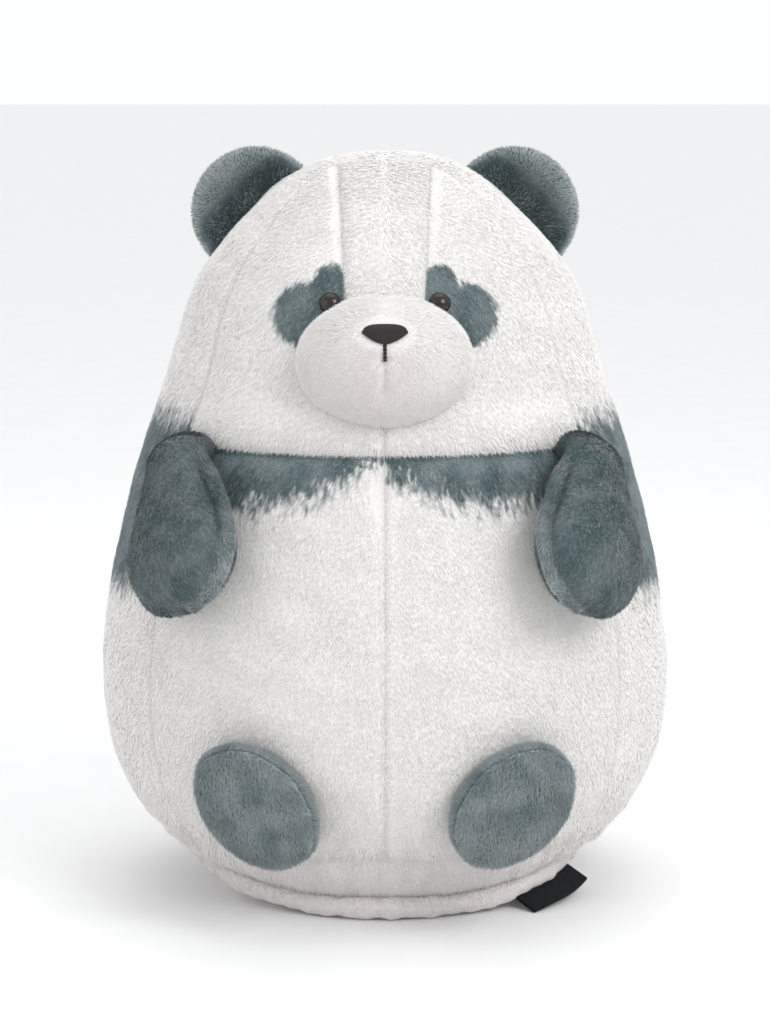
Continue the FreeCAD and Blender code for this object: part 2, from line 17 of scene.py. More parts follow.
import bmesh
import bpy
import numpy as np
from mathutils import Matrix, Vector

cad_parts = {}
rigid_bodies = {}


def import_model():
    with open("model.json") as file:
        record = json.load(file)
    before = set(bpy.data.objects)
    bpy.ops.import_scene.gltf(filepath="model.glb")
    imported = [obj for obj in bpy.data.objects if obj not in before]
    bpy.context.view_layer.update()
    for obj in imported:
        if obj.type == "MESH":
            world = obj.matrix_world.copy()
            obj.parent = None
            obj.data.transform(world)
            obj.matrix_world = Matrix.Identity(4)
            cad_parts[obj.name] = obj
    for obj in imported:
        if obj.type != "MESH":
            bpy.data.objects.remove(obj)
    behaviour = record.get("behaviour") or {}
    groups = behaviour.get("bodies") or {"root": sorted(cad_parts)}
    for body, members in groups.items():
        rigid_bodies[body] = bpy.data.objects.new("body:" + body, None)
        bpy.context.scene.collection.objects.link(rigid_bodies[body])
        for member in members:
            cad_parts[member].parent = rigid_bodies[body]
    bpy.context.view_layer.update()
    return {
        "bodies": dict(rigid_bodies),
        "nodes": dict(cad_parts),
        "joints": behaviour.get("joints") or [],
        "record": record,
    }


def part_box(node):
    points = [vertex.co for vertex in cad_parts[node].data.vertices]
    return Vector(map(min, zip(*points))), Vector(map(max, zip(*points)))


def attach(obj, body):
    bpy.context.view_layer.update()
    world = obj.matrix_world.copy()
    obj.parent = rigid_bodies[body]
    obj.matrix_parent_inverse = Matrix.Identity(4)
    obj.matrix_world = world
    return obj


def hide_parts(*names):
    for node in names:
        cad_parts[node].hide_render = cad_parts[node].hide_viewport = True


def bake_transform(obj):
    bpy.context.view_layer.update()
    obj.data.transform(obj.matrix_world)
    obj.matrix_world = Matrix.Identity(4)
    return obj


LOG = logging.getLogger("panda")
MM = 0.001
SIDES = (("left", 1.0), ("right", -1.0))

Array = np.ndarray
Faces = list[tuple[int, ...]]


# ------------------------------------------------------------------ small maths
def unit(vectors: Array) -> Array:
    """Scale one vector or each row of vectors to length one."""
    length = np.linalg.norm(vectors, axis=-1, keepdims=True)
    return vectors / np.maximum(length, 1e-9)


def smooth(values: Array | float, low: float, high: float) -> Array:
    """Rise smoothly from 0 at low to 1 at high."""
    share = np.clip((np.asarray(values, float) - low) / (high - low), 0.0, 1.0)
    return share * share * (3.0 - 2.0 * share)


def bell(values: Array, width: float) -> Array:
    """A bump of height one at zero that fades over about width."""
    return np.exp(-((values / width) ** 2))


def ripple(points: Array, scale: float, seed: int) -> Array:
    """Soft, repeatable lumps in -1..1 that vary over about scale millimetres."""
    rng = np.random.default_rng(seed)
    total = np.zeros(len(points))
    for _ in range(7):
        direction = unit(rng.normal(size=3)) * (2 * math.pi / scale) * rng.uniform(0.6, 1.5)
        total += np.sin(points @ direction + rng.uniform(0, 2 * math.pi))
    return total / 4.0


def spline_through(knots: Sequence[tuple[float, float]], count: int) -> Array:
    """Sample a smooth curve through 2-D knots evenly along its length.

    Args:
        knots: The points that the curve passes.
        count: How many samples to return.

    Returns:
        An array of count rows with the two coordinates.
    """
    pts = np.asarray(knots, float)
    chord = np.sqrt(np.linalg.norm(np.diff(pts, axis=0), axis=1))
    at = np.concatenate([[0.0], np.cumsum(chord)])
    slope = np.gradient(pts, at, axis=0)
    slope[0] = [np.linalg.norm(pts[1] - pts[0]) / chord[0], 0.0]
    fine = np.linspace(0.0, at[-1], count * 8)
    k = np.clip(np.searchsorted(at, fine, side="right") - 1, 0, len(at) - 2)
    step = (at[k + 1] - at[k])[:, None]
    t = (fine - at[k])[:, None] / step
    curve = (
        (2 * t**3 - 3 * t**2 + 1) * pts[k]
        + (t**3 - 2 * t**2 + t) * step * slope[k]
        + (3 * t**2 - 2 * t**3) * pts[k + 1]
        + (t**3 - t**2) * step * slope[k + 1]
    )
    run = np.concatenate([[0.0], np.cumsum(np.linalg.norm(np.diff(curve, axis=0), axis=1))])
    even = np.linspace(0.0, run[-1], count)
    return np.stack([np.interp(even, run, curve[:, i]) for i in range(2)], axis=1)


# ------------------------------------------------------------------ reading the frame
@dataclass
class Frame:
    """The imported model, with helpers that measure its nodes in millimetres."""

    data: dict

    def joint(self, name: str) -> dict:
        """The joint of that name, as the record states it."""
        return next(j for j in self.data["joints"] if j["name"] == name)

    def pivot(self, name: str) -> Array:
        """Where a hinge's axis passes, in millimetres."""
        return np.array(self.joint(name)["pos_m"], float) / MM

    def hinge(self, name: str) -> Array:
        """A hinge's axis."""
        return unit(np.array(self.joint(name)["axis"], float))

    def points(self, node: str) -> Array:
        """The vertices of a CAD node."""
        mesh = self.data["nodes"][node].data
        co = np.zeros(len(mesh.vertices) * 3, np.float32)
        mesh.vertices.foreach_get("co", co)
        return co.reshape(-1, 3).astype(float) / MM

    def box(self, node: str) -> tuple[Array, Array]:
        """A node's lowest and highest corners."""
        low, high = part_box(node)
        return np.array(low) / MM, np.array(high) / MM

    def middle(self, node: str) -> Array:
        """The middle of a node's box."""
        low, high = self.box(node)
        return (low + high) / 2

    def spread(self, node: str) -> Array:
        """A node's three principal directions, the longest first."""
        pts = self.points(node)
        pts = pts - pts.mean(axis=0)
        _, _, axes = np.linalg.svd(pts[:: max(1, len(pts) // 4000)], full_matrices=False)
        return axes


# ------------------------------------------------------------------ shader wires
def feed(slot: bpy.types.NodeSocket, value: object) -> None:
    """Link a Wire to a socket, or set the socket to a plain value."""
    if isinstance(value, Wire):
        value.tree.links.new(value.socket, slot)
    else:
        slot.default_value = value


class Wire:
    """A shader or geometry socket that can be used in arithmetic."""

    def __init__(self, tree: bpy.types.NodeTree, socket: bpy.types.NodeSocket) -> None:
        """Keep a socket and the tree it is in."""
        self.tree = tree
        self.socket = socket

    def _math(self, operation: str, *values: Wire | float) -> Wire:
        """Add one Math node."""
        node = self.tree.nodes.new("ShaderNodeMath")
        node.operation = operation
        for slot, value in zip(node.inputs, values):
            feed(slot, value)
        return Wire(self.tree, node.outputs[0])

    def __add__(self, other: Wire | float) -> Wire:
        """Sum."""
        return self._math("ADD", self, other)

    def __radd__(self, other: float) -> Wire:
        """Reflected sum."""
        return self._math("ADD", other, self)

    def __sub__(self, other: Wire | float) -> Wire:
        """Difference."""
        return self._math("SUBTRACT", self, other)

    def __rsub__(self, other: float) -> Wire:
        """Reflected difference."""
        return self._math("SUBTRACT", other, self)

    def __mul__(self, other: Wire | float) -> Wire:
        """Product."""
        return self._math("MULTIPLY", self, other)

    def __rmul__(self, other: float) -> Wire:
        """Reflected product."""
        return self._math("MULTIPLY", other, self)

    def __truediv__(self, other: Wire | float) -> Wire:
        """Quotient."""
        return self._math("DIVIDE", self, other)

    def __pow__(self, other: Wire | float) -> Wire:
        """Power."""
        return self._math("POWER", self, other)

    def __abs__(self) -> Wire:
        """Size without sign."""
        return self._math("ABSOLUTE", self)

    def max(self, other: Wire | float) -> Wire:
        """The larger of two values."""
        return self._math("MAXIMUM", self, other)

    def min(self, other: Wire | float) -> Wire:
        """The smaller of two values."""
        return self._math("MINIMUM", self, other)

    def sin(self) -> Wire:
        """Sine."""
        return self._math("SINE", self)

    def atan2(self, other: Wire | float) -> Wire:
        """The angle whose tangent is self over other."""
        return self._math("ARCTAN2", self, other)

    def above(self, edge: Wire | float, soft: float) -> Wire:
        """Rise from 0 to 1 around edge, over soft on each side."""
        share = (self - edge) / (2.0 * soft) + 0.5
        share = share.max(0.0).min(1.0)
        return share * share * (3.0 - 2.0 * share)


class Tree:
    """Adds nodes to a node tree from a type, settings and socket values."""

    def __init__(self, tree: bpy.types.NodeTree) -> None:
        """Add to an existing node tree."""
        self.tree = tree

    def node(self, kind: str, settings: dict | None = None, **values: object) -> bpy.types.Node:
        """Add a node.

        Args:
            kind: The node's type name.
            settings: Properties to set before anything is linked.
            values: Socket values or Wires, by socket name with spaces as underscores.

        Returns:
            The new node.
        """
        node = self.tree.nodes.new(kind)
        for key, value in (settings or {}).items():
            setattr(node, key, value)
        for key, value in values.items():
            name = key.replace("_", " ")
            slot = next(s for s in node.inputs if s.enabled and s.name == name)
            feed(slot, value)
        return node

    def out(self, kind: str, output: str, settings: dict | None = None, **values: object) -> Wire:
        """Add a node and return one of its outputs as a Wire."""
        node = self.node(kind, settings, **values)
        return Wire(self.tree, next(s for s in node.outputs if s.enabled and s.name == output))

    def vector(self, operation: str, a: object, b: object = None, scale: object = None) -> Wire:
        """Add a Vector Math node and return its result.

        Args:
            operation: The node's operation.
            a: The first vector.
            b: The second vector.
            scale: A factor, where the operation has one.

        Returns:
            The result.
        """
        node = self.tree.nodes.new("ShaderNodeVectorMath")
        node.operation = operation
        chosen = [(node.inputs[0], a)]
        if b is not None:
            chosen.append((node.inputs[1], b))
        if scale is not None:
            chosen.append((node.inputs["Scale"], scale))
        for slot, value in chosen:
            feed(slot, value)
        output = "Value" if operation in ("LENGTH", "DOT_PRODUCT", "DISTANCE") else "Vector"
        return Wire(self.tree, node.outputs[output])


class Shader(Tree):
    """A material's node tree, with the wires that finishes start from."""

    def __init__(self, name: str) -> None:
        """Start from an empty material."""
        self.material = bpy.data.materials.new(name)
        self.material.use_nodes = True
        super().__init__(self.material.node_tree)
        self.surface = self.tree.nodes["Principled BSDF"]

    def place(self, attribute: str | None = None) -> Wire:
        """A point in millimetres, from Object coordinates or from a stored attribute."""
        if attribute is None:
            point = self.out("ShaderNodeTexCoord", "Object")
        else:
            point = self.out("ShaderNodeAttribute", "Vector", {"attribute_name": attribute})
        return self.vector("SCALE", point, scale=1.0 / MM)

    def split(self, point: Wire) -> tuple[Wire, Wire, Wire]:
        """The three coordinates of a point."""
        node = self.node("ShaderNodeSeparateXYZ", Vector=point)
        return tuple(Wire(self.tree, s) for s in node.outputs)

    def noise(self, point: Wire, size: float, detail: float = 2.0, shift: float = 0.0) -> Wire:
        """Noise in 0..1 whose lumps are about size millimetres."""
        moved = self.vector("ADD", point, (shift, 2 * shift, -shift))
        return self.out("ShaderNodeTexNoise", "Fac", Vector=moved, Scale=1.0 / size, Detail=detail)

    def mix(self, share: Wire | float, a: object, b: object, how: str = "MIX") -> Wire:
        """Blend two colours."""
        node = self.node("ShaderNodeMix", {"data_type": "RGBA", "blend_type": how})
        for slot, value in ((node.inputs[0], share), (node.inputs[6], a), (node.inputs[7], b)):
            feed(slot, value)
        return Wire(self.tree, node.outputs[2])

    def drive(self, socket: str, wire: Wire) -> None:
        """Link a wire to one of the surface's sockets."""
        self.tree.links.new(wire.socket, self.surface.inputs[socket])

    def hold(self, **values: object) -> None:
        """Set constants on the surface's own sockets."""
        for key, value in values.items():
            self.surface.inputs[key.replace("_", " ")].default_value = value

    def bump(self, height: Wire, depth: float) -> None:
        """Raise the surface by height in 0..1 times depth millimetres."""
        node = self.node(
            "ShaderNodeBump", Strength=1.0, Distance=depth * MM, Height=height
        )
        self.tree.links.new(node.outputs[0], self.surface.inputs["Normal"])


def rgba(red: float, green: float, blue: float) -> tuple[float, float, float, float]:
    """A colour with full opacity."""
    return (red, green, blue, 1.0)


# ------------------------------------------------------------------ finishes
@dataclass(frozen=True)
class Coat:
    """The two dyes of the panda's plush and the levels between them."""

    white: tuple = rgba(0.80, 0.790, 0.778)
    warm: tuple = rgba(0.75, 0.728, 0.710)
    slate: tuple = rgba(0.066, 0.104, 0.108)
    slate_soft: tuple = rgba(0.150, 0.186, 0.196)
    slate_light: tuple = rgba(0.29, 0.345, 0.36)
    # slate_dark serves both for the dark flecks of the grain and as the colour that painted shade darkens
    # the pile towards.
    slate_dark: tuple = rgba(0.016, 0.030, 0.032)
    pink: tuple = rgba(0.74, 0.62, 0.625)
    neck: float = 179.0
    collar: float = 189.0
    hem: float = 177.0


class Pattern(Enum):
    """Where a piece of plush is white and where it is slate."""

    TORSO = "torso"
    WHITE = "white"
    SLATE = "slate"
    MUZZLE = "muzzle"


@dataclass(frozen=True)
class Plush:
    """Plush cloth or the pile that stands on it."""

    pattern: Pattern
    pile: bool = False
    coat: Coat = field(default_factory=Coat)

    def torso_mask(self, sh: Shader, point: Wire) -> Wire:
        """One where head and body are slate, with streaky edges.

        Args:
            sh: The tree to add to.
            point: The place, in millimetres.

        Returns:
            The mask.
        """
        coat = self.coat
        x, y, z = sh.split(point)
        streak = sh.noise(sh.vector("MULTIPLY", point, (1.0, 1.0, 0.25)), 1.7, 2.0, 11.0)
        broad = sh.noise(point, 22.0, 1.0, 40.0)
        turn = abs(x.atan2((y + 4.0) * -1.16)) * (180.0 / math.pi)
        front = 1.0 - turn.above(54.0, 0.4)
        ragged = (streak - 0.5) * 26.0 + (broad - 0.5) * 10.0
        own_left = x.above(0.0, 0.3)
        drop = turn.above(8.0, 8.0) * 14.0 * (1.0 - own_left)
        drop = drop + (turn.above(0.5, 1.5) * 9.0 + turn.above(10.0, 6.0) * 5.0) * own_left
        hem = coat.hem + 2.5 - drop - turn.above(24.0, 10.0) * 5.0
        hem = hem - turn.above(44.0, 8.0) * 30.0 - turn.above(60.0, 10.0) * 7.0
        chest = front * (1.0 - z.above(coat.neck, 0.6))
        sides = (1.0 - front) * (1.0 - z.above(ragged + coat.collar, 6.0))
        band = (chest + sides) * (z - ragged).above(hem - 2.0, 5.5)
        fuzz = (streak - 0.5) * 0.8
        wide, tall = abs(x), z
        upper = self.blob(wide, tall, 20.0, 237.8, 7.0, 9.6, 0.12) + fuzz
        lower = self.blob(wide, tall, 29.0, 229.2, 12.8, 12.0, -0.3) + fuzz
        seam = (abs(x) - 15.0 - (z - 232.0) * 0.06).above(-0.6, 0.7)
        patch = upper.max(lower).above(0.0, 0.24) * (1.0 - y.above(-10.0, 5.0)) * seam
        return band.max(patch).min(1.0)

    @staticmethod
    def blob(x: Wire, z: Wire, cx: float, cz: float, rx: float, rz: float, lean: float) -> Wire:
        """Positive inside a leaning ellipse, about one at its middle."""
        along = (x - cx) + (z - cz) * lean
        up = (z - cz) - (x - cx) * lean
        return 1.0 - (along / rx) ** 2.0 - (up / rz) ** 2.0

    def dye(self, sh: Shader, point: Wire) -> Wire:
        """The cloth's colour at a point.

        Args:
            sh: The tree to add to.
            point: The place, in millimetres.

        Returns:
            The colour.
        """
        coat = self.coat
        mottle = sh.noise(point, 9.0, 3.0)
        pale = sh.mix(mottle.above(0.55, 0.35) * 0.5, coat.white, coat.warm)
        _, _, height = sh.split(point)
        pale = sh.mix((1.0 - height.above(18.0, 14.0)) * 0.3, pale, coat.pink)
        # Random cloudy patches between slate and slate_soft: uneven dye, and partly a painted sheen of
        # the velvet pile.
        cloud = sh.noise(point, 11.0, 3.0, 7.0).above(0.5, 0.16)
        deep = sh.mix(cloud, coat.slate, coat.slate_soft)
        grain = sh.noise(point, 0.9, 2.0, 23.0)
        deep = sh.mix(grain.above(0.62, 0.2) * 0.45, deep, coat.slate_light)
        deep = sh.mix((1.0 - grain).above(0.62, 0.2) * 0.35, deep, coat.slate_dark)
        if self.pattern is Pattern.TORSO:
            return sh.mix(self.torso_mask(sh, point), pale, deep)
        if self.pattern is Pattern.SLATE:
            return deep
        if self.pattern is Pattern.MUZZLE:
            x, _, z = sh.split(point)
            blush = self.blob(x, z, 0.0, 208.0, 24.0, 17.0, 0.0).above(0.4, 0.7)
            return sh.mix(blush * 0.35, pale, coat.pink)
        return pale

    def material(self) -> bpy.types.Material:
        """Build the material."""
        kind = "pile" if self.pile else "cloth"
        sh = Shader(f"{self.pattern.value} plush {kind}")
        point = sh.place("root" if self.pile else None)
        colour = self.dye(sh, point)
        if self.pile:
            tone = sh.out("ShaderNodeAttribute", "Fac", {"attribute_name": "tone"})
            tint_and_painted_light = sh.out("ShaderNodeAttribute", "Fac", {"attribute_name": "tint_and_painted_light"})
            # Above zero the attribute lightens the pile towards grey: painted sheen highlights along
            # seams, and plain lighter tints on feet and ears. Below zero it darkens the pile towards
            # slate_dark: painted shade in seams, creases and the ears' hollows.
            colour = sh.mix(tint_and_painted_light.max(0.0), colour, rgba(0.50, 0.54, 0.54))
            colour = sh.mix((tint_and_painted_light * -1.0).max(0.0), colour, self.coat.slate_dark)
            shade = sh.mix(tone, rgba(0.94, 0.94, 0.945), rgba(1.04, 1.04, 1.035))
            sh.drive("Base Color", sh.mix(1.0, colour, shade, "MULTIPLY"))
        else:
            # The cloth is darkened a tenth towards black: a painted shade for the shadow under the pile
            # that grows on it.
            colour = sh.mix(0.1, colour, rgba(0.0, 0.0, 0.0))
            sh.drive("Base Color", colour)
            sh.bump(sh.noise(point, 0.9, 3.0), 0.5)
        sh.hold(Roughness=0.85, Specular_IOR_Level=0.25, Sheen_Weight=0.25, Sheen_Roughness=0.5)
        return sh.material


@dataclass(frozen=True)
class Thread:
    """Lustrous embroidery or sewing thread."""

    colour: tuple = rgba(0.012, 0.010, 0.010)
    roughness: float = 0.38

    def material(self) -> bpy.types.Material:
        """Build the material, with the plies of the thread as fine ridges."""
        sh = Shader("satin thread")
        point = sh.place()
        x, _, z = sh.split(point)
        plies = ((x * 1.5 + z) * 14.0).sin() * 0.5 + 0.5
        sh.drive("Base Color", sh.mix(plies * 0.5, self.colour, rgba(0.045, 0.04, 0.04)))
        sh.drive("Roughness", plies * 0.15 + self.roughness)
        sh.bump(plies, 0.05)
        sh.hold(Specular_IOR_Level=0.3)
        return sh.material


@dataclass(frozen=True)
class Moulded:
    """Plastic: glossy for the eyes, dull for washers and pellets."""

    name: str
    colour: tuple
    fleck: tuple
    roughness: float
    coat: float = 0.0

    def material(self) -> bpy.types.Material:
        """Build the material."""
        sh = Shader(self.name)
        point = sh.place()
        cloud = sh.noise(point, 2.5, 3.0)
        sh.drive("Base Color", sh.mix(cloud.above(0.55, 0.3), self.colour, self.fleck))
        sh.drive("Roughness", sh.noise(point, 1.2, 4.0, 5.0) * 0.08 + self.roughness)
        sh.hold(IOR=1.5, Coat_Weight=self.coat, Coat_Roughness=0.04)
        return sh.material


@dataclass(frozen=True)
class Woven:
    """Thin plain cloth: lining, ribbon or fibre filling."""

    name: str
    colour: tuple
    second: tuple
    pitch: float
    roughness: float = 0.7

    def material(self) -> bpy.types.Material:
        """Build the material with a fine weave."""
        sh = Shader(self.name)
        point = sh.place()
        x, y, z = sh.split(point)
        turn = 2.0 * math.pi / self.pitch
        warp = ((x + y * 0.6) * turn).sin() * 0.5 + 0.5
        weft = ((z + y * 0.8) * turn).sin() * 0.5 + 0.5
        weave = warp.max(weft)
        cloud = sh.noise(point, 6.0, 3.0)
        sh.drive("Base Color", sh.mix(cloud.above(0.5, 0.3) * weave, self.colour, self.second))
        sh.drive("Roughness", weave * 0.12 + self.roughness)
        sh.bump(weave, 0.12)
        sh.hold(Specular_IOR_Level=0.2)
        return sh.material


@dataclass(frozen=True)
class Studio:
    """The pale sweep that the panda sits on."""

    def material(self) -> bpy.types.Material:
        """Build the material with a faint grain."""
        sh = Shader("pale sweep")
        point = sh.place()
        grain = sh.noise(point, 30.0, 4.0)
        sh.drive("Base Color", sh.mix(grain, rgba(0.86, 0.86, 0.86), rgba(0.90, 0.90, 0.90)))
        sh.hold(Roughness=0.8)
        return sh.material


# ------------------------------------------------------------------ meshes
def mesh_object(name: str, points: Array, faces: Faces) -> bpy.types.Object:
    """Make a smooth mesh object at the origin from points in millimetres."""
    mesh = bpy.data.meshes.new(name)
    mesh.from_pydata((np.asarray(points) * MM).tolist(), [], faces)
    mesh.validate()
    mesh.shade_smooth()
    obj = bpy.data.objects.new(name, mesh)
    bpy.context.scene.collection.objects.link(obj)
    return obj


def grid_faces(rows: int, columns: int, around: bool = False) -> Faces:
    """Quads of a grid of points; around joins its last column to its first."""
    last = columns if around else columns - 1
    faces = []
    for r in range(rows - 1):
        for c in range(last):
            d = (c + 1) % columns
            faces.append(
                (r * columns + c, (r + 1) * columns + c, (r + 1) * columns + d, r * columns + d)
            )
    return faces


def wound(faces: Faces, points: Array, normals: Array) -> Faces:
    """Faces turned, where they have to be, to point the same way as the normals."""
    middle = faces[len(faces) // 2]
    a, b, c = (points[i] for i in middle[:3])
    if np.dot(np.cross(b - a, c - a), normals[middle[0]]) > 0:
        return faces
    return [tuple(reversed(f)) for f in faces]


def laid(flow: Array, normals: Array) -> Array:
    """Flow directions laid flat on the surface."""
    return flow - normals * (flow * normals).sum(1)[:, None]


def ring_normals(points: Array) -> Array:
    """Normals of rings of points that close on themselves."""
    around = (np.roll(points, -1, axis=1) - np.roll(points, 1, axis=1)) / 2
    return unit(np.cross(np.gradient(points, axis=0), around))


def sheet_normals(points: Array) -> Array:
    """Normals of an open grid of points."""
    return unit(np.cross(np.gradient(points, axis=0), np.gradient(points, axis=1)))


def open_edges(faces: Faces) -> list[tuple[int, int]]:
    """Directed edges that only one face uses."""
    used = set()
    for face in faces:
        used.update(zip(face, face[1:] + face[:1]))
    return [(a, b) for a, b in used if (b, a) not in used]


@dataclass
class Patch:
    """A single layer of cloth, with what its pile needs to know at each point."""

    points: Array
    faces: Faces
    normals: Array
    flow: Array
    length: Array
    tint_and_painted_light: Array
    chart: Array

    @classmethod
    def of(
        cls,
        points: Array,
        faces: Faces,
        normals: Array,
        flow: Array,
        chart: Array,
        length: Array | None = None,
        tint_and_painted_light: Array | None = None,
    ) -> Patch:
        """Fill in the defaults: full pile length, and no painted light or tint.

        Args:
            points: The outer face's points.
            faces: Its faces.
            normals: Its normals.
            flow: Which way the pile lies.
            chart: Surface coordinates.
            length: The pile's share of its full length.
            tint_and_painted_light: Above 0 lightened towards grey, for a painted sheen highlight or a
                lighter tint; below 0 darkened, for painted shade.

        Returns:
            The patch.
        """
        count = len(points)
        length = np.ones(count) if length is None else length
        tint_and_painted_light = np.zeros(count) if tint_and_painted_light is None else tint_and_painted_light
        return cls(points, faces, unit(normals), unit(flow), length, tint_and_painted_light, chart)

    def part(self, keep: Array) -> Patch:
        """The faces marked in keep, with only the points that they use.

        Args:
            keep: True for each face that stays.

        Returns:
            The smaller patch.
        """
        faces = [f for f, k in zip(self.faces, keep) if k]
        used = np.unique(np.concatenate([np.array(f) for f in faces]))
        new = np.full(len(self.points), -1)
        new[used] = np.arange(len(used))
        return Patch(
            self.points[used],
            [tuple(int(new[i]) for i in f) for f in faces],
            self.normals[used],
            self.flow[used],
            self.length[used],
            self.tint_and_painted_light[used],
            self.chart[used],
        )

    def cloth(self, name: str, thick: float, material: bpy.types.Material) -> bpy.types.Object:
        """A closed sheet of cloth whose outer face is this patch.

        Args:
            name: The piece's name.
            thick: The cloth's thickness, laid inwards.
            material: Its finish.

        Returns:
            The new object.
        """
        count = len(self.points)
        inner = self.points - self.normals * thick
        back = [tuple(count + i for i in reversed(f)) for f in self.faces]
        rim = [(b, a, a + count, b + count) for a, b in open_edges(self.faces)]
        obj = mesh_object(name, np.vstack([self.points, inner]), self.faces + back + rim)
        chart = np.vstack([self.chart, self.chart])
        store_chart(obj, chart)
        obj.data.materials.append(material)
        return obj

    def base(self, name: str) -> bpy.types.Object:
        """The patch as a mesh that carries its attributes, for the pile to grow on."""
        obj = mesh_object(name, self.points, self.faces)
        rows = {"nap": self.flow, "lie": self.normals}
        rows["chart"] = np.hstack([self.chart, np.zeros((len(self.chart), 1))])
        for key, value in rows.items():
            attribute = obj.data.attributes.new(key, "FLOAT_VECTOR", "POINT")
            attribute.data.foreach_set("vector", value.astype(np.float32).ravel())
        for key, value in {"length": self.length, "tint_and_painted_light": self.tint_and_painted_light}.items():
            attribute = obj.data.attributes.new(key, "FLOAT", "POINT")
            attribute.data.foreach_set("value", value.astype(np.float32))
        return obj


def store_chart(obj: bpy.types.Object, chart: Array) -> None:
    """Give a piece a map that follows its surface, from a pair of numbers for each point."""
    layer = obj.data.uv_layers.new(name="OFBake")
    corners = np.zeros(len(obj.data.loops), np.int32)
    obj.data.loops.foreach_get("vertex_index", corners)
    layer.data.foreach_set("uv", chart[corners].astype(np.float32).ravel())


def charted(u: Array, v: Array) -> Array:
    """Two surface coordinates stretched to fill the middle of the unit square."""
    pair = np.stack([np.asarray(u, float), np.asarray(v, float)], axis=1)
    low, high = pair.min(axis=0), pair.max(axis=0)
    return 0.02 + 0.96 * (pair - low) / np.maximum(high - low, 1e-6)


# ------------------------------------------------------------------ pile
@dataclass(frozen=True)
class Nap:
    """How a plush's pile grows: sizes in millimetres, density per square millimetre."""

    length: float = 3.4
    width: float = 0.42
    density: float = 1.5
    lift: float = 0.42
    tousle: float = 0.55
    curl_size: float = 7.0


class GrowTree:
    """A geometry node tree with named inputs that is run on a carrier mesh."""

    def __init__(self, name: str, result: str, kinds: dict[str, str]) -> None:
        """Args:
            name: The tree's name.
            result: Its output's name.
            kinds: Each input's kind, by the input's name.
        """
        self.group = bpy.data.node_groups.new(name, "GeometryNodeTree")
        self.inputs: dict[str, str] = {}
        face = self.group.interface
        for key, kind in kinds.items():
            item = face.new_socket(name=key, in_out="INPUT", socket_type="NodeSocket" + kind)
            self.inputs[key] = item.identifier
        face.new_socket(name=result, in_out="OUTPUT", socket_type="NodeSocketGeometry")
        self.tree = Tree(self.group)
        source = self.tree.node("NodeGroupInput")
        self.given = {s.name: Wire(self.group, s) for s in source.outputs if s.name}

    def run(self, carrier: bpy.types.Object, name: str, values: dict) -> bpy.types.Object:
        """Run the tree on a carrier and keep only its result as a mesh.

        Args:
            carrier: The object to grow on, which is removed.
            name: The new piece's name.
            values: What each input is set to, by the input's name.

        Returns:
            One plain mesh object.
        """
        modifier = carrier.modifiers.new("grow", "NODES")
        modifier.node_group = self.group
        for key, value in values.items():
            modifier[self.inputs[key]] = value
        carrier.update_tag()
        graph = bpy.context.evaluated_depsgraph_get()
        mesh = bpy.data.meshes.new_from_object(carrier.evaluated_get(graph))
        mesh.name = name
        obj = bpy.data.objects.new(name, mesh)
        bpy.context.scene.collection.objects.link(obj)
        ground = carrier.data
        bpy.data.objects.remove(carrier)
        bpy.data.meshes.remove(ground)
        return obj


